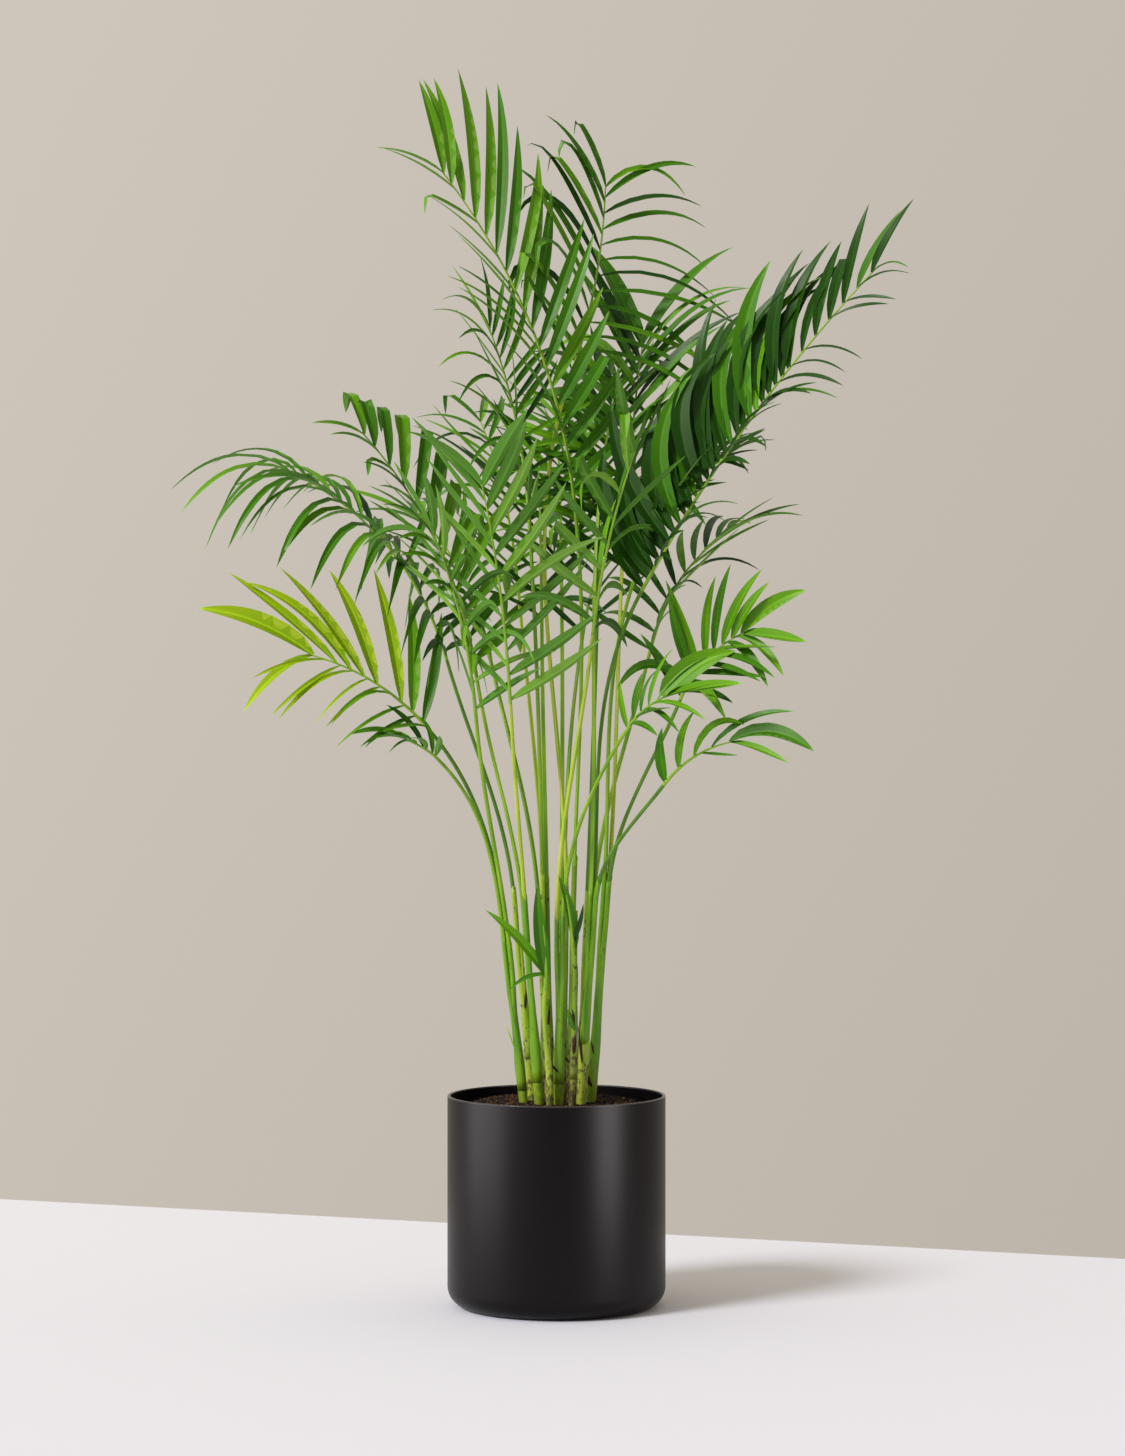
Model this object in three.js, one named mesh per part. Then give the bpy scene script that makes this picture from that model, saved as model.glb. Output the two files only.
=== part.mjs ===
// Potted cat palm: a clump of ringed green canes in a plain black cylinder pot, with a fan of
// feather-shaped fronds. Millimetres, +Z up, origin at the centre of the pot's flat underside.
// The front of the plant faces -Y. Every cane, frond and young leaf is a closed solid of its own.

import * as THREE from 'three';
import { mergeVertices } from 'three/addons/utils/BufferGeometryUtils.js';

// Free space left between two solids that touch on the real plant
const SEAT_GAP = 0.3;

// Pot: thin-walled cylinder with a rounded foot
const POT = {
  radius: 140,
  height: 270,
  wall: 4,
  footRadius: 26,
  rimRound: 1,
  sides: 48,
  footSteps: 5,
};

// Soil: level where the canes stand, falling away to the wall
const SOIL = {
  levelRadius: 92,
  height: 262,
  edgeHeight: 249,
  shoulderRadius: 116,
  sides: 36,
  footSteps: 2,
};

// Canes: foot position on the soil, sideways drift per millimetre of height, and length
const CANE_SIDES = 8;
const CANE_SWELL = 1.16;
const CANE_SWELL_AT = 0.3;
const CANE_TIP_SCALE = 1.05;
const CANES = [
  { foot: [-42, -22], lean: [-0.105, -0.01], length: 185, radius: 5.8 },
  { foot: [-31, 6], lean: [-0.075, 0.03], length: 250, radius: 6.2 },
  { foot: [-22, -40], lean: [-0.07, -0.035], length: 235, radius: 6.2 },
  { foot: [-9, -12], lean: [-0.02, 0.0], length: 270, radius: 6.4 },
  { foot: [3, -46], lean: [0.005, -0.05], length: 225, radius: 6.6 },
  { foot: [7, 22], lean: [0.01, 0.06], length: 245, radius: 6.2 },
  { foot: [18, -14], lean: [0.03, 0.0], length: 285, radius: 6.4 },
  { foot: [31, -38], lean: [0.06, -0.045], length: 255, radius: 6.6 },
  { foot: [44, -12], lean: [0.075, 0.0], length: 270, radius: 6.6 },
  { foot: [30, 18], lean: [0.05, 0.05], length: 230, radius: 6.0 },
  { foot: [-14, 30], lean: [-0.02, 0.075], length: 220, radius: 6.0 },
  { foot: [-8, -60], lean: [-0.03, -0.05], length: 120, radius: 4.6 },
  { foot: [20, -60], lean: [0.03, -0.04], length: 160, radius: 4.6 },
];

// Fronds. cane and seat: the cane that carries the stalk and the place on its top, in degrees.
// heading: compass of growth, 0 towards +X and 90 towards +Y. roll: turn of the blade round its
// rib. arch: how far the rib bows above its chord. neck and tip: distance outwards from the cane
// and height above the floor. pairs: leaflet pairs. leaf and width: size of the largest leaflets.
// angle: between rib and leaflet at the neck. droop: sag of a leaflet's tip against its length.
// end: length and width of the last pair against the others.
const FRONDS = [
  {
    name: 'frond_top_left', cane: 6, seat: 180, heading: 182, roll: -48, arch: 32,
    neck: [4, 1034], tip: [174, 1454], pairs: 16,
    leaf: 178, width: 16, angle: 38, droop: 0.12, end: [0.78, 1.2],
  },
  {
    name: 'frond_top_centre', cane: 5, seat: 330, heading: 48, roll: 62, arch: -14,
    neck: [14, 1200], tip: [82, 1455], pairs: 12,
    leaf: 215, width: 9, angle: 64, droop: 0.5, end: [0.62, 1.0],
  },
  {
    name: 'frond_top_right', cane: 8, seat: 60, heading: 66, roll: 5, arch: 8,
    neck: [50, 945], tip: [120, 1246], pairs: 16,
    leaf: 185, width: 12, angle: 50, droop: 0.32, end: [0.98, 1.6],
  },
  {
    name: 'frond_right_long', cane: 7, seat: 80, heading: -4, roll: 42, arch: 16,
    neck: [62, 915], tip: [356, 1319], pairs: 24,
    leaf: 190, width: 20, angle: 36, droop: 0.1, end: [0.55, 1.0],
  },
  {
    name: 'frond_right_inner', cane: 8, seat: 180, heading: 12, roll: 10, arch: 12,
    neck: [54, 974], tip: [160, 1092], pairs: 8,
    leaf: 140, width: 10, angle: 55, droop: 0.2, end: [0.6, 1.0],
  },
  {
    name: 'frond_right_mid', cane: 8, seat: 300, heading: -18, roll: 72, arch: 12,
    neck: [98, 777], tip: [183, 862], pairs: 6,
    leaf: 118, width: 13, angle: 55, droop: 0.2, end: [0.8, 1.6],
  },
  {
    name: 'frond_right_low', cane: 7, seat: 320, heading: -28, roll: 60, arch: 10,
    neck: [100, 669], tip: [196, 724], pairs: 4,
    leaf: 84, width: 13, angle: 50, droop: 0.2, end: [1.55, 2.0],
  },
  {
    name: 'frond_centre_low', cane: 4, seat: 340, heading: -32, roll: 55, arch: 6,
    neck: [98, 737], tip: [160, 782], pairs: 4,
    leaf: 92, width: 14, angle: 50, droop: 0.15, end: [1.3, 2.3],
  },
  {
    name: 'frond_centre', cane: 4, seat: 200, heading: -48, roll: 10, arch: 10,
    neck: [62, 857], tip: [140, 1084], pairs: 10,
    leaf: 140, width: 13, angle: 52, droop: 0.2, end: [0.9, 1.3],
  },
  {
    name: 'frond_centre_back', cane: 3, seat: 60, heading: 95, roll: 0, arch: 12,
    neck: [55, 879], tip: [120, 1099], pairs: 10,
    leaf: 140, width: 12, angle: 52, droop: 0.15, end: [0.9, 1.4],
  },
  {
    name: 'frond_front', cane: 2, seat: 270, heading: 252, roll: 0, arch: 16,
    neck: [62, 771], tip: [170, 1039], pairs: 12,
    leaf: 158, width: 15, angle: 56, droop: 0.1, end: [0.8, 1.2],
  },
  {
    name: 'frond_left_upper', cane: 2, seat: 130, heading: 196, roll: -45, arch: 26,
    neck: [66, 811], tip: [214, 1112], pairs: 13,
    leaf: 128, width: 14, angle: 50, droop: 0.15, end: [0.7, 1.0],
  },
  {
    name: 'frond_left_long', cane: 1, seat: 176, heading: 176, roll: -12, arch: 36,
    neck: [92, 829], tip: [300, 1075], pairs: 13,
    leaf: 165, width: 11, angle: 60, droop: 0.8, end: [1.0, 1.1],
  },
  {
    name: 'frond_left_low', cane: 0, seat: 80, heading: 188, roll: -62, arch: 14,
    neck: [102, 739], tip: [254, 834], pairs: 7,
    leaf: 150, width: 13, angle: 56, droop: 0.2, end: [1.0, 1.9],
  },
  {
    name: 'frond_left_small', cane: 0, seat: 200, heading: 205, roll: -20, arch: 3,
    neck: [98, 702], tip: [145, 727], pairs: 3,
    leaf: 75, width: 9, angle: 55, droop: 0.25, end: [0.9, 1.4],
  },
  {
    name: 'frond_upper_left', cane: 3, seat: 210, heading: 160, roll: -20, arch: 10,
    neck: [22, 1009], tip: [78, 1259], pairs: 12,
    leaf: 135, width: 9, angle: 60, droop: 0.35, end: [0.8, 1.1],
  },
  {
    name: 'frond_back_right', cane: 9, seat: 150, heading: 78, roll: 0, arch: 18,
    neck: [75, 999], tip: [185, 1214], pairs: 11,
    leaf: 145, width: 12, angle: 55, droop: 0.2, end: [0.8, 1.2],
  },
  {
    name: 'frond_back_left', cane: 10, seat: 30, heading: 112, roll: 0, arch: 22,
    neck: [85, 919], tip: [230, 1159], pairs: 12,
    leaf: 145, width: 12, angle: 55, droop: 0.2, end: [0.8, 1.2],
  },
  {
    name: 'frond_back_high', cane: 5, seat: 210, heading: 92, roll: 0, arch: 30,
    neck: [95, 949], tip: [300, 1179], pairs: 14,
    leaf: 150, width: 12, angle: 55, droop: 0.2, end: [0.8, 1.2],
  },
  {
    name: 'frond_back_low_left', cane: 10, seat: 170, heading: 134, roll: 0, arch: 24,
    neck: [105, 849], tip: [255, 1029], pairs: 10,
    leaf: 140, width: 12, angle: 55, droop: 0.2, end: [0.8, 1.4],
  },
  {
    name: 'frond_back_low_right', cane: 9, seat: 10, heading: 40, roll: 0, arch: 24,
    neck: [105, 839], tip: [250, 1004], pairs: 10,
    leaf: 140, width: 12, angle: 55, droop: 0.2, end: [0.8, 1.4],
  },
  {
    name: 'frond_centre_high', cane: 7, seat: 200, heading: 78, roll: 0, arch: 10,
    neck: [55, 1060], tip: [175, 1200], pairs: 9,
    leaf: 140, width: 11, angle: 55, droop: 0.25, end: [0.9, 1.2],
  },
  {
    name: 'frond_front_left', cane: 0, seat: 320, heading: 232, roll: -14, arch: 14,
    neck: [66, 760], tip: [150, 985], pairs: 10,
    leaf: 140, width: 12, angle: 55, droop: 0.2, end: [0.8, 1.2],
  },
  {
    name: 'frond_back_mid', cane: 5, seat: 90, heading: 66, roll: 0, arch: 16,
    neck: [60, 860], tip: [190, 1030], pairs: 9,
    leaf: 135, width: 12, angle: 55, droop: 0.2, end: [0.8, 1.3],
  },
  {
    name: 'frond_young_front', cane: 11, seat: 200, heading: 250, roll: 0, arch: 2,
    neck: [4, 432], tip: [14, 492], pairs: 2,
    leaf: 96, width: 14, angle: 46, droop: 0.05, end: [1.0, 1.2],
  },
  {
    name: 'frond_young_right', cane: 12, seat: 100, heading: 236, roll: 0, arch: 2,
    neck: [8, 470], tip: [22, 530], pairs: 2,
    leaf: 88, width: 12, angle: 38, droop: 0.05, end: [1.0, 1.2],
  },
];

// Stalk and rib: three-sided, flat above with a keel below. The stalk stands a little off the
// middle of its cane, so that two or three of them share one cane.
const LIMB_EDGE = { across: 0.87, above: 0.5 };
const STALK_RADIUS = 3.0;
const NECK_RADIUS = 2.5;
const RIB_TIP_RADIUS = 1.2;
const STALK_STEPS = 7;
const STALK_HANDLE = 0.36;
const SEAT_OFFSET = 3.9;

// Leaflets: length of the root along the rib, thickness against length, and the least thickness
const LEAFLET_ROOT = 9;
const LEAFLET_THICKNESS = 1 / 70;
const THINNEST_BLADE = 1.5;
const LEAFLET_STATIONS = [
  { along: 0.42, width: 1.0 },
  { along: 0.78, width: 0.66 },
];

// Course of the leaflets along the rib: length at the neck against the longest, place of the
// longest, angle and lift in degrees, and how far the faces turn up
const NECK_LENGTH = 0.82;
const LONGEST_AT = 0.35;
const ANGLE_AT_TIP = 22;
const ANGLE_EASE = 1.3;
const LIFT_AT_NECK = 30;
const LIFT_AT_TIP = 16;
const FACE_UP = 0.7;

// Spread of the leaflets round that course
const ANGLE_JITTER = 4;
const LIFT_JITTER = 10;
const LENGTH_JITTER = 0.08;
const DROOP_JITTER = 0.4;

// Clearance kept between a leaflet and everything it does not grow from, size of the cells that
// sort the space, and the changes of lift in degrees that a blocked leaflet tries in turn
const LEAFLET_CLEARANCE = 0.8;
const GRID_CELL = 40;
const SIDESTEPS = [0, 6, -6, 12, -12, 18, -18, 25, -25];

const MATERIALS = {
  pot: new THREE.MeshStandardMaterial({ color: 0x252324, roughness: 0.55, metalness: 0.0 }),
  soil: new THREE.MeshStandardMaterial({ color: 0x4a2c1c, roughness: 1.0, metalness: 0.0 }),
  cane: new THREE.MeshStandardMaterial({ color: 0x7fa63a, roughness: 0.5, metalness: 0.0 }),
  frond: new THREE.MeshStandardMaterial({ color: 0x3f8f2c, roughness: 0.45, metalness: 0.0 }),
};

const UP = new THREE.Vector3(0, 0, 1);

function radians(degrees) {
  return THREE.MathUtils.degToRad(degrees);
}

// Repeatable random numbers between -1 and 1
function jitterSource(seed) {
  let state = seed >>> 0;
  return () => {
    state = (state + 0x6d2b79f5) >>> 0;
    let mixed = Math.imul(state ^ (state >>> 15), state | 1);
    mixed ^= mixed + Math.imul(mixed ^ (mixed >>> 7), mixed | 61);
    return (((mixed ^ (mixed >>> 14)) >>> 0) / 4294967296) * 2 - 1;
  };
}

// A turned solid whose profile starts and ends on the axis, stood upright
function turnedSolid(profile, sides) {
  const geometry = new THREE.LatheGeometry(profile, sides);
  geometry.deleteAttribute('normal');
  geometry.deleteAttribute('uv');
  geometry.rotateX(Math.PI / 2);
  const merged = mergeVertices(geometry, 1e-3);
  const corners = merged.index.array;
  const kept = [];
  for (let first = 0; first < corners.length; first += 3) {
    const [a, b, c] = [corners[first], corners[first + 1], corners[first + 2]];
    if (a !== b && b !== c && a !== c) {
      kept.push(a, b, c);
    }
  }
  merged.setIndex(kept);
  return merged;
}

// Quarter round from the flat bottom up to the wall
function footArc(radius, bottom, round, steps) {
  const points = [];
  for (let step = 0; step <= steps; step += 1) {
    const angle = (Math.PI / 2) * (step / steps);
    points.push(new THREE.Vector2(
      radius - round + round * Math.sin(angle),
      bottom + round - round * Math.cos(angle),
    ));
  }
  return points;
}

function potGeometry() {
  const { radius, height, wall, footRadius, rimRound, sides, footSteps } = POT;
  const inner = radius - wall;
  const profile = [
    new THREE.Vector2(0, 0),
    ...footArc(radius, 0, footRadius, footSteps),
    new THREE.Vector2(radius, height - rimRound),
    new THREE.Vector2(radius - rimRound, height),
    new THREE.Vector2(inner + rimRound, height),
    new THREE.Vector2(inner, height - rimRound),
    ...footArc(inner, wall, footRadius - wall, footSteps).reverse(),
    new THREE.Vector2(0, wall),
  ];
  return turnedSolid(profile, sides);
}

function soilGeometry() {
  const { levelRadius, height, edgeHeight, shoulderRadius, sides, footSteps } = SOIL;
  const cornerLoss = Math.cos(Math.PI / POT.sides);
  const inner = (POT.radius - POT.wall) * cornerLoss - SEAT_GAP;
  const bottom = POT.wall + SEAT_GAP;
  const shoulderHeight = (height + edgeHeight) / 2;
  const profile = [
    new THREE.Vector2(0, bottom),
    ...footArc(inner, bottom, POT.footRadius, footSteps),
    new THREE.Vector2(inner, edgeHeight),
    new THREE.Vector2(shoulderRadius, shoulderHeight),
    new THREE.Vector2(levelRadius, height),
    new THREE.Vector2(0, height),
  ];
  return turnedSolid(profile, sides);
}

function caneTop(cane) {
  const rise = cane.length;
  return new THREE.Vector3(
    cane.foot[0] + cane.lean[0] * rise,
    cane.foot[1] + cane.lean[1] * rise,
    SOIL.height + SEAT_GAP + rise,
  );
}

// A list of faces under construction
class Body {
  constructor() {
    this.points = [];
    this.faces = [];
  }

  point(position) {
    this.points.push(position.clone());
    return this.points.length - 1;
  }

  triangle(a, b, c, flipped = false) {
    this.faces.push(flipped ? [a, c, b] : [a, b, c]);
  }

  quad(a, b, c, d, flipped = false) {
    this.triangle(a, b, c, flipped);
    this.triangle(a, c, d, flipped);
  }

  corners() {
    return this.faces.map((face) => face.map((index) => this.points[index]));
  }

  geometry() {
    const geometry = new THREE.BufferGeometry();
    const positions = this.points.flatMap((point) => point.toArray());
    geometry.setAttribute('position', new THREE.Float32BufferAttribute(positions, 3));
    geometry.setIndex(this.faces.flat());
    return geometry;
  }
}

// A cane: eight-sided, a little swollen where its sheaths overlap, cut flat at both ends
function caneBody(cane) {
  const body = new Body();
  const stations = [
    { along: 0, scale: 1 },
    { along: CANE_SWELL_AT, scale: CANE_SWELL },
    { along: 1, scale: CANE_TIP_SCALE },
  ];
  const rings = stations.map(({ along, scale }) => {
    const rise = along * cane.length;
    const ring = [];
    for (let side = 0; side < CANE_SIDES; side += 1) {
      const angle = (2 * Math.PI * side) / CANE_SIDES;
      ring.push(body.point(new THREE.Vector3(
        cane.foot[0] + cane.lean[0] * rise + Math.cos(angle) * cane.radius * scale,
        cane.foot[1] + cane.lean[1] * rise + Math.sin(angle) * cane.radius * scale,
        SOIL.height + SEAT_GAP + rise,
      )));
    }
    return ring;
  });
  for (let level = 0; level + 1 < rings.length; level += 1) {
    for (let side = 0; side < CANE_SIDES; side += 1) {
      const next = (side + 1) % CANE_SIDES;
      body.quad(rings[level][side], rings[level][next], rings[level + 1][next], rings[level + 1][side]);
    }
  }
  const top = rings[rings.length - 1];
  for (let side = 1; side + 1 < CANE_SIDES; side += 1) {
    body.triangle(rings[0][0], rings[0][side + 1], rings[0][side]);
    body.triangle(top[0], top[side], top[side + 1]);
  }
  return body;
}

// The space that is already taken, kept as triangles in a coarse grid of cells
class TakenSpace {
  constructor() {
    this.cells = new Map();
  }

  keys(triangle) {
    const box = new THREE.Box3().setFromPoints(triangle).expandByScalar(LEAFLET_CLEARANCE);
    const low = box.min.divideScalar(GRID_CELL).floor();
    const high = box.max.divideScalar(GRID_CELL).floor();
    const keys = [];
    for (let x = low.x; x <= high.x; x += 1) {
      for (let y = low.y; y <= high.y; y += 1) {
        for (let z = low.z; z <= high.z; z += 1) {
          keys.push(`${x},${y},${z}`);
        }
      }
    }
    return keys;
  }

  add(triangles, owner) {
    for (const corners of triangles) {
      const entry = { corners, owner };
      for (const key of this.keys(corners)) {
        if (!this.cells.has(key)) {
          this.cells.set(key, []);
        }
        this.cells.get(key).push(entry);
      }
    }
  }

  // True where one of the triangles crosses something that isn't its own
  blocks(triangles, owner) {
    for (const corners of triangles) {
      const near = new Set(this.keys(corners).flatMap((key) => this.cells.get(key) ?? []));
      for (const entry of near) {
        if (entry.owner !== owner && trianglesCross(corners, entry.corners)) {
          return true;
        }
      }
    }
    return false;
  }
}

const crossingRay = new THREE.Ray();
const crossingPoint = new THREE.Vector3();

function edgeCrosses(start, end, [a, b, c]) {
  crossingRay.origin.copy(start);
  crossingRay.direction.subVectors(end, start);
  const length = crossingRay.direction.length();
  crossingRay.direction.divideScalar(length);
  const hit = crossingRay.intersectTriangle(a, b, c, false, crossingPoint);
  return hit !== null && crossingPoint.distanceTo(start) <= length;
}

function trianglesCross(first, second) {
  for (let corner = 0; corner < 3; corner += 1) {
    const next = (corner + 1) % 3;
    if (edgeCrosses(first[corner], first[next], second)) {
      return true;
    }
    if (edgeCrosses(second[corner], second[next], first)) {
      return true;
    }
  }
  return false;
}

// The line that a frond follows: an upright stalk that bends into an arching rib
class FrondLine {
  constructor(frond) {
    const cane = CANES[frond.cane];
    const compass = radians(frond.heading);
    this.outwards = new THREE.Vector3(Math.cos(compass), Math.sin(compass), 0);
    this.side = new THREE.Vector3().crossVectors(UP, this.outwards);
    this.roll = radians(frond.roll);
    const top = caneTop(cane);
    const seat = radians(frond.seat);
    const foot = new THREE.Vector3(
      top.x + Math.cos(seat) * SEAT_OFFSET,
      top.y + Math.sin(seat) * SEAT_OFFSET,
      top.z + SEAT_GAP,
    );
    const neck = this.place(top, frond.neck);
    const tip = this.place(top, frond.tip);
    const chord = new THREE.Vector3().subVectors(tip, neck);
    const bow = new THREE.Vector3().crossVectors(chord, this.side).normalize();
    const crest = new THREE.Vector3().addVectors(neck, tip).multiplyScalar(0.5);
    crest.addScaledVector(bow, 2 * frond.arch);
    this.rib = new THREE.QuadraticBezierCurve3(neck, crest, tip);
    const handle = STALK_HANDLE * foot.distanceTo(neck);
    const leave = new THREE.Vector3(cane.lean[0], cane.lean[1], 1).normalize();
    const arrive = this.rib.getTangent(0);
    this.stalk = new THREE.CubicBezierCurve3(
      foot,
      foot.clone().addScaledVector(leave, handle),
      neck.clone().addScaledVector(arrive, -handle),
      neck,
    );
    this.ribLength = this.rib.getLength();
  }

  place(top, [distance, height]) {
    return new THREE.Vector3(top.x, top.y, height).addScaledVector(this.outwards, distance);
  }

  // Position and directions at a point of the stalk or of the rib
  frame(curve, along, turn) {
    const centre = curve.getPointAt(along);
    const forward = curve.getTangentAt(along);
    const side = this.side.clone().addScaledVector(forward, -this.side.dot(forward)).normalize();
    side.applyAxisAngle(forward, turn);
    const above = new THREE.Vector3().crossVectors(forward, side);
    return { centre, forward, side, above };
  }

  stalkFrame(along) {
    return this.frame(this.stalk, along, this.roll * along * along);
  }

  ribFrame(along) {
    return this.frame(this.rib, along, this.roll);
  }
}

// One ring of the three-sided limb: left and right edges above, keel below
function limbRing(body, { centre, side, above }, radius) {
  const corner = (across, upwards) => body.point(
    centre.clone().addScaledVector(side, across * radius).addScaledVector(above, upwards * radius),
  );
  return {
    left: corner(LIMB_EDGE.across, LIMB_EDGE.above),
    right: corner(-LIMB_EDGE.across, LIMB_EDGE.above),
    keel: corner(0, -1),
  };
}

// Length of a leaflet against the longest of its frond
function fullness(along, endLength) {
  if (along < LONGEST_AT) {
    return THREE.MathUtils.lerp(NECK_LENGTH, 1, along / LONGEST_AT);
  }
  return THREE.MathUtils.lerp(1, endLength, THREE.MathUtils.smoothstep(along, LONGEST_AT, 1));
}

// Where the leaflets of a frond sit, how long they are and how they point
function leafletPlan(frond, ribLength, random) {
  const [endLength, endWidth] = frond.end;
  const { lerp } = THREE.MathUtils;
  const margin = LEAFLET_ROOT / 2 / ribLength;
  const plan = [];
  for (let pair = 0; pair < frond.pairs; pair += 1) {
    const along = lerp(margin, 1 - margin, pair / (frond.pairs - 1));
    const last = pair === frond.pairs - 1;
    const full = fullness(along, endLength);
    const slots = [1, -1].map((hand) => ({
      hand,
      length: frond.leaf * full * (1 + LENGTH_JITTER * random()),
      width: frond.width * (last ? endWidth : 1),
      angle: lerp(frond.angle, ANGLE_AT_TIP, along ** ANGLE_EASE) + ANGLE_JITTER * random(),
      lift: lerp(LIFT_AT_NECK, LIFT_AT_TIP, along) + LIFT_JITTER * random(),
      droop: frond.droop * (1 + DROOP_JITTER * random()),
    }));
    plan.push({ along, slots });
  }
  return plan;
}

// Cross-sections of one leaflet: edge towards the neck, edge towards the tip, keel below.
// The leaflet leaves the rib at its angle, sinks under its own weight and turns its face up.
function leafletSections(ribFrame, slot, sidestep) {
  const { hand, length, width, droop } = slot;
  const angle = radians(slot.angle);
  const lift = radians(slot.lift + sidestep);
  const sideways = ribFrame.side.clone().multiplyScalar(hand * Math.cos(lift));
  sideways.addScaledVector(ribFrame.above, Math.sin(lift));
  const start = ribFrame.forward.clone().multiplyScalar(Math.cos(angle));
  start.addScaledVector(sideways, Math.sin(angle));
  const face = new THREE.Vector3().crossVectors(ribFrame.forward, sideways).multiplyScalar(hand);
  face.addScaledVector(UP, FACE_UP);
  const thickness = Math.max(THINNEST_BLADE, length * LEAFLET_THICKNESS);
  const directionAt = (along) => start.clone().addScaledVector(UP, -2 * droop * along).normalize();
  const centre = ribFrame.centre.clone();
  let reached = 0;
  const advance = (along) => {
    centre.addScaledVector(directionAt((reached + along) / 2), length * (along - reached));
    reached = along;
  };
  const sections = LEAFLET_STATIONS.map((station) => {
    advance(station.along);
    const forward = directionAt(station.along);
    const across = new THREE.Vector3().crossVectors(forward, face).multiplyScalar(hand).normalize();
    const above = new THREE.Vector3().crossVectors(across, forward).multiplyScalar(hand);
    const half = (width * station.width) / 2;
    return {
      inner: centre.clone().addScaledVector(across, -half),
      outer: centre.clone().addScaledVector(across, half),
      keel: centre.clone().addScaledVector(above, -thickness),
    };
  });
  advance(1);
  return { sections, tip: centre };
}

// Faces of a leaflet from its root on the rib out to its tip. The root has two edge corners and
// two keel corners; every section further out has three corners.
function addLeaflet(body, root, shape, flipped) {
  const rings = shape.sections.map((section) => ({
    inner: body.point(section.inner),
    outer: body.point(section.outer),
    keel: body.point(section.keel),
  }));
  const first = rings[0];
  body.quad(root.edge, root.nextEdge, first.outer, first.inner, flipped);
  body.quad(root.keel, root.edge, first.inner, first.keel, flipped);
  body.quad(root.nextKeel, first.keel, first.outer, root.nextEdge, flipped);
  body.triangle(root.keel, first.keel, root.nextKeel, flipped);
  for (let level = 0; level + 1 < rings.length; level += 1) {
    const near = rings[level];
    const far = rings[level + 1];
    body.quad(near.inner, near.outer, far.outer, far.inner, flipped);
    body.quad(near.keel, near.inner, far.inner, far.keel, flipped);
    body.quad(near.keel, far.keel, far.outer, near.outer, flipped);
  }
  const end = rings[rings.length - 1];
  const tip = body.point(shape.tip);
  body.triangle(end.inner, end.outer, tip, flipped);
  body.triangle(end.keel, end.inner, tip, flipped);
  body.triangle(end.keel, tip, end.outer, flipped);
}

// The outer triangles of a leaflet, made a little larger, to test it against its neighbours
function leafletHull(shape, ribFrame) {
  const swollen = shape.sections.map((section) => {
    const centre = new THREE.Vector3()
      .add(section.inner).add(section.outer).add(section.keel).divideScalar(3);
    const grow = (point) => {
      const away = new THREE.Vector3().subVectors(point, centre);
      return point.clone().addScaledVector(away.normalize(), LEAFLET_CLEARANCE);
    };
    return { inner: grow(section.inner), outer: grow(section.outer), keel: grow(section.keel) };
  });
  const [near, far] = swollen;
  const reach = LEAFLET_ROOT / 2 + LEAFLET_CLEARANCE;
  const before = ribFrame.centre.clone().addScaledVector(ribFrame.forward, -reach);
  const behind = ribFrame.centre.clone().addScaledVector(ribFrame.forward, reach);
  const beyond = shape.tip.clone().sub(far.keel).setLength(LEAFLET_CLEARANCE).add(shape.tip);
  return {
    base: [
      [before, behind, near.outer],
      [before, near.outer, near.inner],
      [before, near.inner, near.keel],
      [behind, near.keel, near.outer],
      [before, near.keel, behind],
    ],
    blade: [
      [near.inner, near.outer, far.outer],
      [near.inner, far.outer, far.inner],
      [near.keel, near.inner, far.inner],
      [near.keel, far.inner, far.keel],
      [near.keel, far.keel, far.outer],
      [near.keel, far.outer, near.outer],
      [far.inner, far.outer, beyond],
      [far.keel, far.inner, beyond],
      [far.keel, beyond, far.outer],
    ],
  };
}

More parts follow.
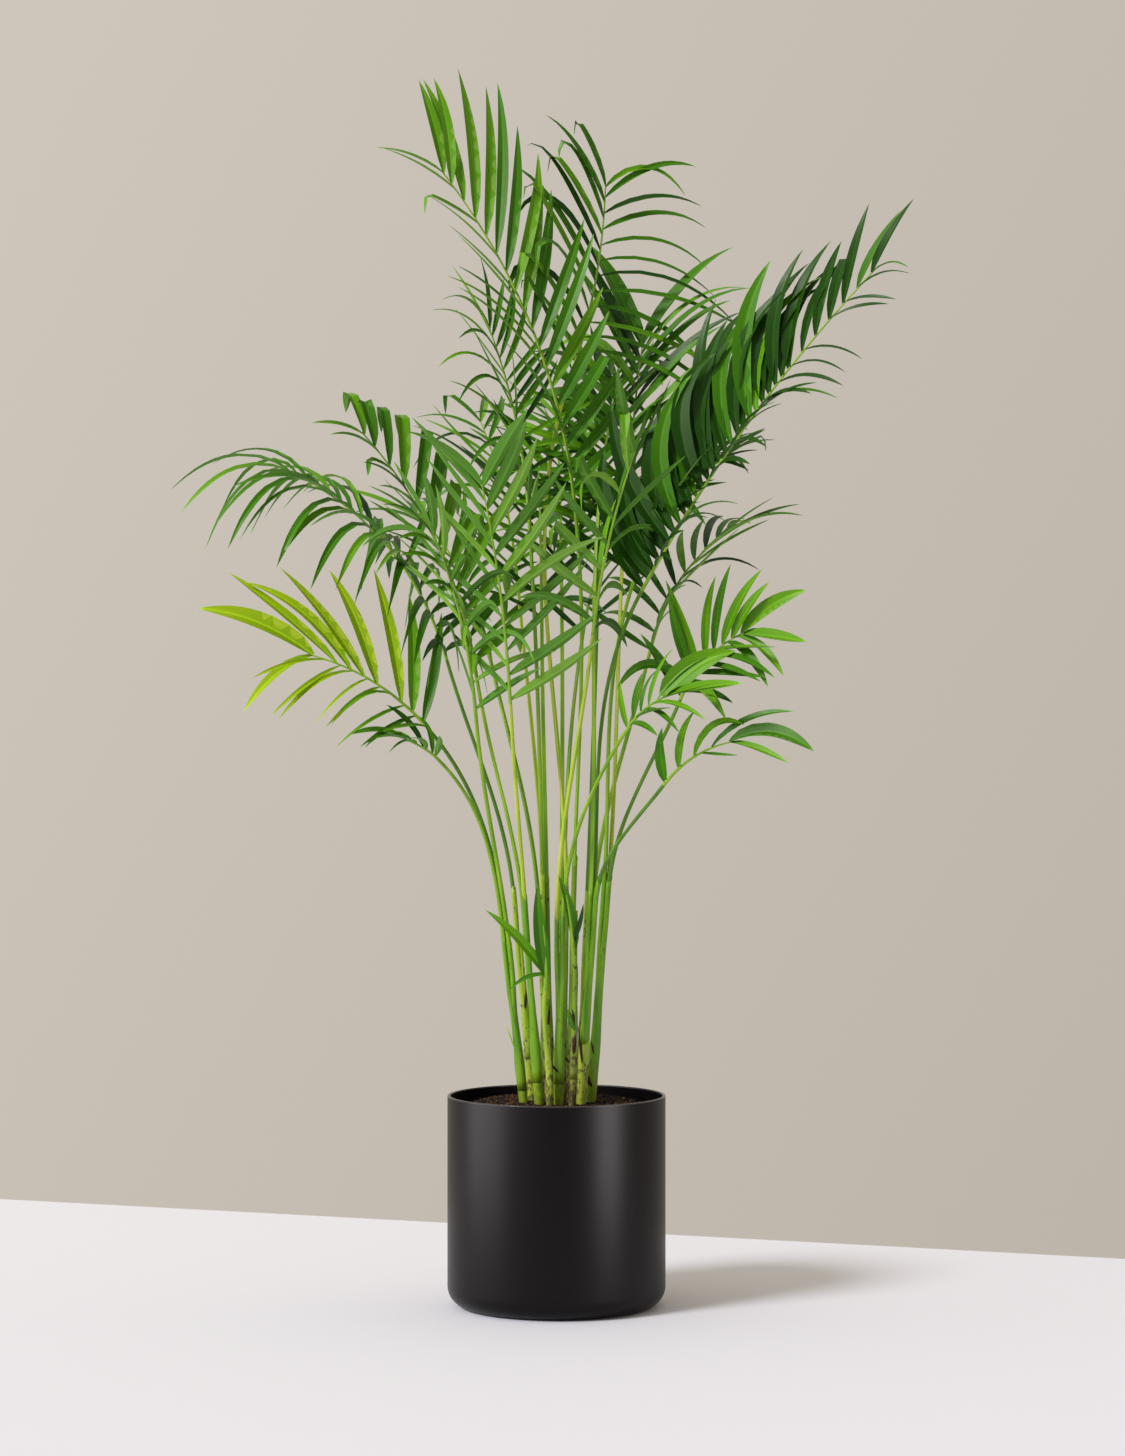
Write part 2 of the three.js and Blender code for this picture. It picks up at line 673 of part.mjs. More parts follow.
// A frond: stalk, rib and leaflets in one closed surface
class Frond {
  constructor(frond, seed) {
    this.frond = frond;
    this.line = new FrondLine(frond);
    this.plan = leafletPlan(frond, this.line.ribLength, jitterSource(seed));
    this.body = new Body();
    this.shapes = new Map();
  }

  // Rings of the limb. Each pair of leaflets has a ring before and behind its roots.
  limbStations() {
    const stations = [];
    for (let step = 0; step < STALK_STEPS; step += 1) {
      const along = step / STALK_STEPS;
      const radius = THREE.MathUtils.lerp(STALK_RADIUS, NECK_RADIUS, along);
      stations.push({ frame: this.line.stalkFrame(along), radius });
    }
    const half = LEAFLET_ROOT / 2 / this.line.ribLength;
    this.plan.forEach(({ along }, pair) => {
      for (const place of [along - half, along + half]) {
        const radius = THREE.MathUtils.lerp(NECK_RADIUS, RIB_TIP_RADIUS, place);
        stations.push({ frame: this.line.ribFrame(place), radius, pair });
      }
    });
    return stations;
  }

  limbTriangles() {
    const scratch = new Body();
    const rings = this.limbStations().map(({ frame, radius }) => limbRing(scratch, frame, radius));
    this.joinRings(scratch, rings, () => false);
    return scratch.corners();
  }

  joinRings(body, rings, hasLeaflet) {
    for (let level = 0; level + 1 < rings.length; level += 1) {
      const near = rings[level];
      const far = rings[level + 1];
      body.quad(near.right, far.right, far.left, near.left);
      if (!hasLeaflet(level, 1)) {
        body.quad(near.left, far.left, far.keel, near.keel);
      }
      if (!hasLeaflet(level, -1)) {
        body.quad(near.keel, far.keel, far.right, near.right);
      }
    }
  }

  // Chooses for each leaflet a way clear of everything else, or leaves it out
  settleLeaflets(taken) {
    for (const { along, slots } of this.plan) {
      const frame = this.line.ribFrame(along);
      for (const slot of slots) {
        for (const sidestep of SIDESTEPS) {
          const shape = leafletSections(frame, slot, sidestep);
          const hull = leafletHull(shape, frame);
          const clear = !taken.blocks(hull.blade, null) && !taken.blocks(hull.base, this);
          if (clear) {
            this.shapes.set(slot, shape);
            taken.add([...hull.base, ...hull.blade], this);
            break;
          }
        }
      }
    }
  }

  build() {
    const { body } = this;
    const stations = this.limbStations();
    const rings = stations.map(({ frame, radius }) => limbRing(body, frame, radius));
    const slotAt = (level, hand) => {
      const { pair } = stations[level];
      if (pair === undefined || stations[level + 1].pair !== pair) {
        return undefined;
      }
      return this.plan[pair].slots.find((slot) => slot.hand === hand);
    };
    const hasLeaflet = (level, hand) => this.shapes.has(slotAt(level, hand));
    this.joinRings(body, rings, hasLeaflet);
    for (let level = 0; level + 1 < rings.length; level += 1) {
      for (const hand of [1, -1]) {
        if (hasLeaflet(level, hand)) {
          const edgeName = hand > 0 ? 'left' : 'right';
          const root = {
            edge: rings[level][edgeName],
            nextEdge: rings[level + 1][edgeName],
            keel: rings[level].keel,
            nextKeel: rings[level + 1].keel,
          };
          addLeaflet(body, root, this.shapes.get(slotAt(level, hand)), hand < 0);
        }
      }
    }
    const first = rings[0];
    body.triangle(first.left, first.keel, first.right);
    const last = rings[rings.length - 1];
    body.triangle(last.right, last.keel, last.left);
    return body;
  }
}

function addMesh(group, name, geometry, material) {
  const mesh = new THREE.Mesh(geometry, material);
  mesh.name = name;
  group.add(mesh);
}

const plant = new THREE.Group();
addMesh(plant, 'pot', potGeometry(), MATERIALS.pot);
addMesh(plant, 'soil', soilGeometry(), MATERIALS.soil);

const taken = new TakenSpace();
CANES.forEach((cane, index) => {
  const body = caneBody(cane);
  taken.add(body.corners(), 'cane');
  addMesh(plant, `cane_${String(index + 1).padStart(2, '0')}`, body.geometry(), MATERIALS.cane);
});

const fronds = FRONDS.map((frond, index) => new Frond(frond, index + 1));
for (const frond of fronds) {
  taken.add(frond.limbTriangles(), frond);
}
for (const frond of fronds) {
  frond.settleLeaflets(taken);
  addMesh(plant, frond.frond.name, frond.build().geometry(), MATERIALS.frond);
}

export default plant;
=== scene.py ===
"""Potted cat palm: a clump of sheathed canes and feather-shaped fronds in a black cylinder pot.

The sizes of the plant and of its pot are millimetres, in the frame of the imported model: +Z up, the
origin in the middle of the pot's flat underside, and the front of the plant towards -Y. A mesh is
made in metres.
"""

from __future__ import annotations

import logging
import math
from collections.abc import Callable, Sequence
from dataclasses import dataclass, field
from enum import Enum

import bpy
import bmesh
import numpy as np
from bpy.types import Collection, Material, Node, NodeOutputs, NodeSocket, NodeTree, Object
from mathutils import Euler, Matrix, Quaternion, Vector

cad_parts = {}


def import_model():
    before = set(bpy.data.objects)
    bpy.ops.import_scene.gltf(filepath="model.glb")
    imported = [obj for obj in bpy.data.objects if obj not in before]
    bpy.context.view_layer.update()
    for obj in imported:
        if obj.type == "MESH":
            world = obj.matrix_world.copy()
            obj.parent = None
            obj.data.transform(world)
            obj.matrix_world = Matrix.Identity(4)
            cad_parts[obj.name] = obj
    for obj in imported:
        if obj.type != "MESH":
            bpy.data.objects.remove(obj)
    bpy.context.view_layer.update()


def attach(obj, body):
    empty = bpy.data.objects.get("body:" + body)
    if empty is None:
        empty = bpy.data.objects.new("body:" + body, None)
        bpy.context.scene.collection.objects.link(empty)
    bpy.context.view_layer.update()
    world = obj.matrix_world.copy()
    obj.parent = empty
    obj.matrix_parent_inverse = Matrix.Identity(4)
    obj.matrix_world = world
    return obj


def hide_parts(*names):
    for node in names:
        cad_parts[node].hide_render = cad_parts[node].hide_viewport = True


LOG = logging.getLogger("cat_palm")

MM = 0.001
UP = Vector((0.0, 0.0, 1.0))
BODY = "root"
PLACES = "places"
# Metres within which a corner counts as lying on a plane or an edge.
NEAR = 1e-5
Pair = tuple[float, float]
Triple = tuple[float, float, float]
Colour = Triple
Value = NodeSocket | float | tuple[float, ...]


def linear(red: int, green: int, blue: int) -> Colour:
    """Turn display values from 0 to 255 into a scene-linear colour.

    Args:
        red: Red, 0 to 255.
        green: Green, 0 to 255.
        blue: Blue, 0 to 255.

    Returns:
        The colour as three scene-linear numbers.
    """
    def channel(value: int) -> float:
        """Turn one display value into a scene-linear one."""
        share = value / 255
        return share / 12.92 if share <= 0.04045 else ((share + 0.055) / 1.055) ** 2.4

    return channel(red), channel(green), channel(blue)


def lerp(start: float, end: float, share: float) -> float:
    """Return the number that lies a share of the way from start to end."""
    return start + (end - start) * share


def smoothstep(value: float, low: float, high: float) -> float:
    """Return 0 below low and 1 above high, with a smooth change between them."""
    share = min(max((value - low) / (high - low), 0.0), 1.0)
    return share * share * (3 - 2 * share)


def level_way(compass: float) -> Vector:
    """Return the level direction at a compass angle in degrees, 0 towards +X."""
    angle = math.radians(compass)
    return Vector((math.cos(angle), math.sin(angle), 0.0))


class Tone(Enum):
    """Leaf colours of the plant."""

    DEEP = "deep"
    MID = "mid"
    FRESH = "fresh"
    LIME = "lime"
    DRY = "dry"


class Palette(Enum):
    """Mixes of leaf colours, each with its share of a frond's leaflets."""

    DARK = ((Tone.DEEP, 0.72), (Tone.MID, 0.22), (Tone.FRESH, 0.06))
    GREEN = ((Tone.MID, 0.58), (Tone.DEEP, 0.20), (Tone.FRESH, 0.22))
    BRIGHT = ((Tone.FRESH, 0.46), (Tone.MID, 0.42), (Tone.DEEP, 0.12))
    RIPE = ((Tone.LIME, 0.58), (Tone.FRESH, 0.28), (Tone.MID, 0.14))


class StalkTone(Enum):
    """Colours of the stalks below the blades."""

    GREEN = "green"
    LIGHT = "light"
    YELLOW = "yellow"


class SheathTone(Enum):
    """States of the leaf sheaths that wrap a cane."""

    CLEAN = "clean"
    PALE = "pale"
    AGED = "aged"


SOIL_LEVEL = 262.0
# Gap that the model leaves under each cane and under each stalk.
SEAT_GAP = 0.3


@dataclass(frozen=True)
class CanePlan:
    """One cane: foot on the potting mix, sideways drift per millimetre of height, and size."""

    foot: Pair
    lean: Pair
    length: float
    radius: float
    sheath: SheathTone

    def centre(self, rise: float) -> Vector:
        """Return the middle of the cane at a height above its foot."""
        return Vector((
            self.foot[0] + self.lean[0] * rise,
            self.foot[1] + self.lean[1] * rise,
            SOIL_LEVEL + SEAT_GAP + rise,
        ))


# A row gives foot, lean, length, radius and sheath.
CANES = (
    CanePlan((-42, -22), (-0.105, -0.01), 185, 5.8, SheathTone.CLEAN),
    CanePlan((-31, 6), (-0.075, 0.03), 250, 6.2, SheathTone.PALE),
    CanePlan((-22, -40), (-0.07, -0.035), 235, 6.2, SheathTone.CLEAN),
    CanePlan((-9, -12), (-0.02, 0.0), 270, 6.4, SheathTone.AGED),
    CanePlan((3, -46), (0.005, -0.05), 225, 6.6, SheathTone.CLEAN),
    CanePlan((7, 22), (0.01, 0.06), 245, 6.2, SheathTone.AGED),
    CanePlan((18, -14), (0.03, 0.0), 285, 6.4, SheathTone.AGED),
    CanePlan((31, -38), (0.06, -0.045), 255, 6.6, SheathTone.PALE),
    CanePlan((44, -12), (0.075, 0.0), 270, 6.6, SheathTone.CLEAN),
    CanePlan((30, 18), (0.05, 0.05), 230, 6.0, SheathTone.PALE),
    CanePlan((-14, 30), (-0.02, 0.075), 220, 6.0, SheathTone.AGED),
    CanePlan((-8, -60), (-0.03, -0.05), 120, 4.6, SheathTone.PALE),
    CanePlan((20, -60), (0.03, -0.04), 160, 4.6, SheathTone.AGED),
)


@dataclass(frozen=True)
class Bract:
    """A small leaf or dry tip on a cane.

    cane, rise and compass say where it sits; lean is its angle out from the cane and slant its
    angle to one side, in degrees.
    """

    cane: int
    rise: float
    compass: float
    length: float
    width: float
    tone: Tone
    lean: float = 3.0
    slant: float = 0.0


# A row gives cane, rise, compass, length, width, tone, lean and slant.
BRACTS = (
    Bract(1, 118, 262, 24, 4.5, Tone.DRY, 3.0, 8.0),
    Bract(0, 72, 200, 30, 5.0, Tone.LIME, 14.0),
    Bract(12, 66, 262, 27, 6.5, Tone.DRY, 4.0, 4.0),
    Bract(12, 104, 258, 20, 4.0, Tone.DRY, 6.0, -8.0),
    Bract(7, 52, 258, 50, 4.0, Tone.DRY, 2.0, -9.0),
    Bract(8, 20, 268, 28, 8.0, Tone.DRY, 2.0, -34.0),
    Bract(8, 62, 262, 18, 3.0, Tone.DRY, 3.0, -16.0),
    Bract(4, 42, 262, 15, 4.0, Tone.DRY, 3.0, -42.0),
    Bract(6, 50, 258, 20, 4.0, Tone.DRY, 4.0, -50.0),
    Bract(3, 96, 268, 30, 4.0, Tone.DRY, 3.0, 6.0),
    Bract(9, 80, 90, 30, 8.0, Tone.DRY, 3.0, 8.0),
    Bract(10, 60, 100, 28, 8.0, Tone.DRY, 3.0, -8.0),
    Bract(12, 96, 280, 30, 9.0, Tone.MID, 6.0, -22.0),
)


@dataclass(frozen=True)
class SingleLeaf:
    """A leaf planned by itself: its foot and tip, its width and how far its middle bows upwards."""

    frond: str
    foot: Triple
    tip: Triple
    width: float
    bow: float
    tone: Tone


# A row gives frond, foot, tip, width, bow and tone.
SINGLE_LEAVES = (
    SingleLeaf("frond_young_front", (-13, -68, 428), (-90, -82, 512), 14.0, 6.0, Tone.FRESH),
    SingleLeaf("frond_young_front", (-13, -69, 424), (-24, -78, 545), 19.0, -4.0, Tone.MID),
    SingleLeaf("frond_young_front", (-12, -70, 430), (-60, -80, 409), 6.0, 7.0, Tone.MID),
    SingleLeaf("frond_young_right", (24, -68, 462), (2, -80, 556), 14.0, 5.0, Tone.MID),
    SingleLeaf("frond_young_right", (20, -69, 470), (34, -82, 520), 7.0, -3.0, Tone.DEEP),
    SingleLeaf("frond_centre_low", (133, -60, 782), (226, -86, 838), 33.0, 11.0, Tone.FRESH),
)


@dataclass(frozen=True)
class SideHabit:
    """How the leaflets on one side of a rib differ from the rest.

    length, breadth, sweep and unruly multiply. angle is added at the neck and tip_angle at the
    tip, in degrees. droop is added to the sag, and bent to the share of leaflets with folded ends.
    kept is the share that grows at all. longest_at is the place of the longest leaflet on the rib,
    and at_neck the length of the first one against it.
    """

    length: float = 1.0
    breadth: float = 1.0
    sweep: float = 1.0
    angle: float = 0.0
    tip_angle: float = 0.0
    droop: float = 0.0
    bent: float = 0.0
    kept: float = 1.0
    unruly: float = 1.0
    longest_at: float = 0.35
    at_neck: float = 0.82


@dataclass(frozen=True)
class FrondLook:
    """Colour and habit of a frond's leaflets.

    graded sorts the palette along the rib, its first colour at the tip. density counts the leaflets
    against the coarse model's. bent is the share of leaflets whose ends fold down, from the place
    bend_at along their length. sweep turns the ends towards the rib's tip, in degrees, up to the
    place straight_from on the rib. unruly scales the random turns, and limp is the added sag of the
    limpest leaflet. From open_from onwards every second pair is left out, and slim multiplies the
    breadth of the others.
    """

    palette: Palette = Palette.GREEN
    stalk: StalkTone = StalkTone.LIGHT
    graded: float = 0.0
    density: float = 1.2
    breadth: float = 1.1
    bent: float = 0.05
    bend_at: float = 0.6
    sweep: float = 13.0
    straight_from: float = 0.8
    unruly: float = 1.0
    limp: float = 0.2
    open_from: float = 2.0
    slim: float = 1.0
    left: SideHabit = SideHabit()
    right: SideHabit = SideHabit()


@dataclass(frozen=True)
class FrondPlan:
    """One frond.

    cane and seat say which cane carries it and where on its top, in degrees. heading is the compass
    of growth, 0 towards +X. roll turns the blade round its rib, and arch bows the rib. neck and tip
    are distance outwards from the cane and height above the floor. pairs counts the coarse model's
    leaflet pairs. leaf and width are the size of the largest leaflets, angle stands between rib and
    leaflet at the neck, and droop is the sag of a leaflet's tip against its length. end is the
    length and width of the last pair against the others.
    """

    name: str
    cane: int
    seat: float
    heading: float
    roll: float
    arch: float
    neck: Pair
    tip: Pair
    pairs: int
    leaf: float
    width: float
    angle: float
    droop: float
    end: Pair
    look: FrondLook


# After its name, a row gives cane, seat, heading, roll, arch, neck, tip, pairs, leaf, width, angle,
# droop, end and look.
FRONDS = (
    FrondPlan(
        "frond_top_left", 6, 180, 182, -48, 32, (4, 1034), (174, 1454), 16, 178, 16, 38, 0.12,
        (0.6, 1.0),
        FrondLook(
            Palette.BRIGHT, graded=0.55, density=1.1, breadth=1.1, sweep=2,
            left=SideHabit(breadth=0.6, droop=0.1, kept=0.6),
            right=SideHabit(length=1.3, longest_at=0.74, at_neck=0.5),
        ),
    ),
    FrondPlan(
        "frond_top_centre", 5, 330, 48, 62, -14, (14, 1200), (82, 1455), 12, 215, 9, 64, 0.5,
        (0.62, 1.0),
        FrondLook(
            Palette.GREEN, StalkTone.YELLOW, density=1.1, breadth=1.2, bent=0.1, bend_at=0.7,
            unruly=1.2, limp=0.3,
            left=SideHabit(breadth=1.3, angle=-12, tip_angle=-4, bent=0.6),
            right=SideHabit(angle=8, tip_angle=14, droop=0.1),
        ),
    ),
    FrondPlan(
        "frond_top_right", 8, 60, 66, 5, 8, (50, 945), (120, 1246), 16, 185, 12, 50, 0.32,
        (0.98, 1.6),
        FrondLook(
            Palette.GREEN, StalkTone.YELLOW, density=0.95, breadth=1.4, sweep=4, unruly=1.3,
            limp=0.4,
        ),
    ),
    FrondPlan(
        "frond_right_long", 7, 80, -4, 42, 16, (62, 915), (356, 1319), 24, 190, 20, 36, 0.1,
        (0.55, 1.0),
        FrondLook(
            Palette.DARK, StalkTone.GREEN, density=1.6, sweep=46, straight_from=0.62, unruly=0.8,
            open_from=0.68, slim=0.62,
            left=SideHabit(length=1.18, breadth=1.15, angle=28, tip_angle=-6),
            right=SideHabit(
                length=0.66, breadth=0.45, sweep=0.1, angle=8, tip_angle=4, droop=0.3, kept=0.6,
                unruly=3.0,
            ),
        ),
    ),
    FrondPlan(
        "frond_right_inner", 8, 180, 12, 10, 12, (54, 974), (160, 1092), 8, 140, 10, 55, 0.2,
        (0.6, 1.0), FrondLook(Palette.DARK, unruly=1.8, limp=0.7),
    ),
    FrondPlan(
        "frond_right_mid", 8, 300, -18, 72, 12, (98, 777), (183, 862), 6, 118, 13, 55, 0.2,
        (0.8, 1.6),
        FrondLook(
            Palette.BRIGHT, StalkTone.GREEN, graded=0.4, density=1.5, bent=0.0, sweep=4,
            unruly=1.6, limp=0.8,
        ),
    ),
    FrondPlan(
        "frond_right_low", 7, 320, -28, 60, 10, (100, 669), (196, 724), 4, 84, 13, 50, 0.2,
        (1.55, 1.65),
        FrondLook(
            Palette.BRIGHT, StalkTone.GREEN, graded=0.5, density=1.25, bent=0.0, limp=0.3,
            left=SideHabit(tip_angle=-14, droop=0.06),
            right=SideHabit(length=0.8, breadth=0.5, tip_angle=-12, droop=-0.08, kept=0.25),
        ),
    ),
    FrondPlan(
        "frond_centre_low", 4, 340, -32, 55, 6, (98, 737), (160, 782), 4, 92, 14, 50, 0.15,
        (1.3, 2.3),
        FrondLook(
            Palette.BRIGHT, graded=0.4, density=1.5, bent=0.0, unruly=1.2, limp=0.5,
            left=SideHabit(length=0.75, breadth=0.6), right=SideHabit(breadth=0.7, tip_angle=-22),
        ),
    ),
    FrondPlan(
        "frond_centre", 4, 200, -48, 10, 10, (62, 857), (140, 1084), 10, 140, 13, 52, 0.2,
        (0.9, 1.3),
        FrondLook(Palette.GREEN, StalkTone.YELLOW, density=0.85, bent=0.3, unruly=2.0, limp=1.0),
    ),
    FrondPlan(
        "frond_centre_back", 3, 60, 95, 0, 12, (55, 879), (120, 1099), 10, 140, 12, 52, 0.15,
        (0.9, 1.4), FrondLook(Palette.DARK, density=0.9, breadth=0.9, unruly=2.0, limp=0.8),
    ),
    FrondPlan(
        "frond_front", 2, 270, 252, 0, 16, (62, 771), (170, 1039), 12, 158, 15, 56, 0.1,
        (0.8, 1.2),
        FrondLook(Palette.GREEN, StalkTone.YELLOW, density=0.85, breadth=1.15, bent=0.0, limp=0.3),
    ),
    FrondPlan(
        "frond_left_upper", 2, 130, 196, -45, 26, (66, 811), (214, 1112), 13, 128, 14, 50, 0.15,
        (0.6, 1.0),
        FrondLook(
            Palette.BRIGHT, density=0.95, bent=0.1, bend_at=0.52, sweep=0,
            left=SideHabit(length=1.1, breadth=0.7, droop=0.2),
            right=SideHabit(
                length=1.5, breadth=1.15, tip_angle=8, bent=0.85, longest_at=0.6, at_neck=0.7,
            ),
        ),
    ),
    FrondPlan(
        "frond_left_long", 1, 176, 176, -12, 36, (92, 829), (300, 1075), 13, 165, 11, 60, 0.8,
        (1.0, 1.1),
        FrondLook(
            Palette.GREEN, StalkTone.GREEN, density=1.5, breadth=1.15, unruly=1.4,
            left=SideHabit(length=1.1), right=SideHabit(length=1.15, droop=0.1),
        ),
    ),
    FrondPlan(
        "frond_left_low", 0, 80, 188, -62, 14, (102, 739), (254, 834), 7, 150, 13, 56, 0.2,
        (1.0, 1.9),
        FrondLook(
            Palette.RIPE, StalkTone.GREEN, graded=0.75, density=1.4, bent=0.0, sweep=2,
            unruly=1.3, limp=0.3,
            left=SideHabit(length=0.85, breadth=0.55, tip_angle=6, droop=0.24, unruly=2.0),
            right=SideHabit(
                length=1.16, breadth=1.2, angle=-12, tip_angle=-8, droop=-0.12, kept=0.85,
            ),
        ),
    ),
    FrondPlan(
        "frond_left_small", 0, 200, 205, -20, 3, (98, 702), (145, 727), 3, 75, 9, 55, 0.25,
        (0.9, 1.4), FrondLook(Palette.GREEN, bent=0.0, unruly=1.5, limp=0.6),
    ),
    FrondPlan(
        "frond_upper_left", 3, 210, 160, -20, 10, (22, 1009), (78, 1259), 12, 135, 9, 60, 0.35,
        (0.8, 1.1), FrondLook(Palette.BRIGHT, density=1.4, breadth=0.95, unruly=2.4, limp=0.6),
    ),
    FrondPlan(
        "frond_back_right", 9, 150, 78, 0, 18, (75, 999), (185, 1214), 11, 145, 12, 55, 0.2,
        (0.8, 1.2),
        FrondLook(Palette.DARK, StalkTone.GREEN, density=1.0, breadth=0.9, unruly=1.8, limp=0.6),
    ),
    FrondPlan(
        "frond_back_left", 10, 30, 112, 0, 22, (85, 919), (230, 1159), 12, 145, 12, 55, 0.2,
        (0.8, 1.2),
        FrondLook(Palette.GREEN, StalkTone.YELLOW, density=1.0, breadth=0.85, unruly=2.0, limp=0.8),
    ),
    FrondPlan(
        "frond_back_high", 5, 210, 92, 0, 30, (95, 949), (300, 1179), 14, 150, 12, 55, 0.2,
        (0.8, 1.2), FrondLook(Palette.GREEN, density=1.0, breadth=0.9, unruly=1.8, limp=0.6),
    ),
    FrondPlan(
        "frond_back_low_left", 10, 170, 134, 0, 24, (105, 849), (255, 1029), 10, 140, 12, 55, 0.2,
        (0.8, 1.4), FrondLook(Palette.GREEN, density=1.0, breadth=0.9, unruly=1.6, limp=0.5),
    ),
    FrondPlan(
        "frond_back_low_right", 9, 10, 40, 0, 24, (105, 839), (250, 1004), 10, 140, 12, 55, 0.2,
        (0.8, 1.4), FrondLook(Palette.GREEN, density=1.0, breadth=0.9, unruly=1.6, limp=0.5),
    ),
    FrondPlan(
        "frond_centre_high", 7, 200, 78, 0, 10, (55, 1060), (175, 1200), 9, 140, 11, 55, 0.25,
        (0.9, 1.2), FrondLook(Palette.GREEN, density=1.1, unruly=2.0, limp=0.8),
    ),
    FrondPlan(
        "frond_front_left", 0, 320, 232, -14, 14, (66, 760), (150, 985), 10, 140, 12, 55, 0.2,
        (0.8, 1.2), FrondLook(Palette.GREEN, density=0.8, breadth=0.95, unruly=1.8, limp=1.0),
    ),
    FrondPlan(
        "frond_back_mid", 5, 90, 66, 0, 16, (60, 860), (190, 1030), 9, 135, 12, 55, 0.2,
        (0.8, 1.3), FrondLook(Palette.DARK, density=0.9, breadth=0.9, unruly=1.8, limp=0.7),
    ),
    FrondPlan(
        "frond_young_front", 11, 200, 250, 0, 2, (4, 432), (14, 492), 2, 96, 14, 46, 0.05,
        (1.0, 1.2), FrondLook(density=0.0),
    ),
    FrondPlan(
        "frond_young_right", 12, 100, 236, 0, 2, (8, 470), (22, 530), 2, 88, 12, 38, 0.05,
        (1.0, 1.2), FrondLook(density=0.0),
    ),
)


class NodeSketch:
    """A node tree under construction."""

    def __init__(self, tree: NodeTree) -> None:
        """Take the tree that the nodes go into."""
        self.tree = tree

    def wire(self, socket: NodeSocket, value: Value) -> None:
        """Give a socket another node's output or a constant."""
        if isinstance(value, NodeSocket):
            self.tree.links.new(value, socket)
        else:
            socket.default_value = value

    def node(
        self, kind: str, inputs: dict[str | int, Value] | None = None, **settings: object
    ) -> Node:
        """Add a node.

        Args:
            kind: Node type, without ShaderNode in front.
            inputs: What its inputs get, by name or number.
            **settings: Properties of the node.

        Returns:
            The new node.
        """
        node = self.tree.nodes.new(f"ShaderNode{kind}")
        for name, value in settings.items():
            setattr(node, name, value)
        for key, value in (inputs or {}).items():
            self.wire(node.inputs[key], value)
        return node

    def maths(self, operation: str, *values: Value, clamped: bool = False) -> NodeSocket:
        """Return the result of a maths node, kept between 0 and 1 where it is clamped."""
        node = self.node("Math", dict(enumerate(values)), operation=operation, use_clamp=clamped)
        return node.outputs["Value"]

    def noise(self, place: Value, scale: Value, detail: float = 2.0) -> NodeSocket:
        """Return soft noise at a place."""
        inputs = {"Vector": place, "Scale": scale, "Detail": detail}
        return self.node("TexNoise", inputs).outputs["Fac"]

    def ramp(
        self, value: Value, low: float, high: float, start: float = 0.0, end: float = 1.0
    ) -> NodeSocket:
        """Turn values between low and high into values between start and end."""
        spread = {"Value": value, "From Min": low, "From Max": high, "To Min": start, "To Max": end}
        return self.node("MapRange", spread).outputs["Result"]


class ShaderGroup(NodeSketch):
    """A shader node group with named sockets, built once and placed in several materials."""

    def __init__(self, name: str, inputs: dict[str, float], outputs: Sequence[str]) -> None:
        """Start a group.

        Args:
            name: Name of the group.
            inputs: Its inputs, each with the value that it has where nothing feeds it.
            outputs: Its outputs.
        """
        super().__init__(bpy.data.node_groups.new(name, "ShaderNodeTree"))
        sockets = self.tree.interface
        for label, value in inputs.items():
            socket = sockets.new_socket(label, in_out="INPUT", socket_type="NodeSocketFloat")
            socket.default_value = value
        for label in outputs:
            sockets.new_socket(label, in_out="OUTPUT", socket_type="NodeSocketFloat")
        self.given = self.tree.nodes.new("NodeGroupInput").outputs
        self.results = self.tree.nodes.new("NodeGroupOutput").inputs


def mottle_group() -> NodeTree:
    """Build the group that gives soft patches, stretched along Z by its Stretch input.

    Returns:
        The node tree, with outputs Patches and Grain, both from 0 to 1.
    """
    group = ShaderGroup("mottle", {"Scale": 30.0, "Stretch": 1.0}, ("Patches", "Grain"))
    place = group.node("TexCoord").outputs["Object"]
    stretch = group.node("CombineXYZ", {"X": 1.0, "Y": 1.0, "Z": group.given["Stretch"]})
    factors = {0: place, 1: stretch.outputs["Vector"]}
    scaled = group.node("VectorMath", factors, operation="MULTIPLY").outputs["Vector"]
    for name, fineness, detail in (("Patches", 1.0, 3.0), ("Grain", 9.0, 2.0)):
        scale = group.maths("MULTIPLY", group.given["Scale"], fineness)
        noise = group.noise(scaled, scale, detail)
        group.wire(group.results[name], group.ramp(noise, low=0.3, high=0.7))
    return group.tree


def pleat_group() -> NodeTree:
    """Build the group that gives the lengthwise veins of a leaflet from its own texture places.

    Returns:
        The node tree, with outputs Height, Midrib and Along (from the foot to the tip), all
        from 0 to 1.
    """
    group = ShaderGroup("pleats", {"Veins": 6.0}, ("Height", "Midrib", "Along"))
    place = group.node("UVMap", uv_map=PLACES).outputs["UV"]
    parts = group.node("SeparateXYZ", {"Vector": place}).outputs
    ripple = group.maths("PINGPONG", group.maths("MULTIPLY", parts["X"], group.given["Veins"]), 0.5)
    group.wire(group.results["Height"], group.maths("MULTIPLY", ripple, 2.0))
    away = group.maths("ABSOLUTE", group.maths("SUBTRACT", parts["X"], 0.5))
    line = group.ramp(away, low=0.03, high=0.09, start=1.0, end=0.0)
    group.wire(group.results["Midrib"], line)
    group.wire(group.results["Along"], parts["Y"])
    return group.tree


def rise_group() -> NodeTree:
    """Build the group that tells how near a point is to a given height, from above.

    Returns:
        The node tree, with output Nearness: 1 at the height From, and 0 at From plus Reach.
    """
    group = ShaderGroup("rise", {"From": 0.262, "Reach": 0.1}, ("Nearness",))
    place = group.node("TexCoord").outputs["Object"]
    height = group.node("SeparateXYZ", {"Vector": place}).outputs["Z"]
    rise = group.maths("SUBTRACT", height, group.given["From"])
    share = group.maths("DIVIDE", rise, group.given["Reach"], clamped=True)
    group.wire(group.results["Nearness"], group.maths("SUBTRACT", 1.0, share))
    return group.tree


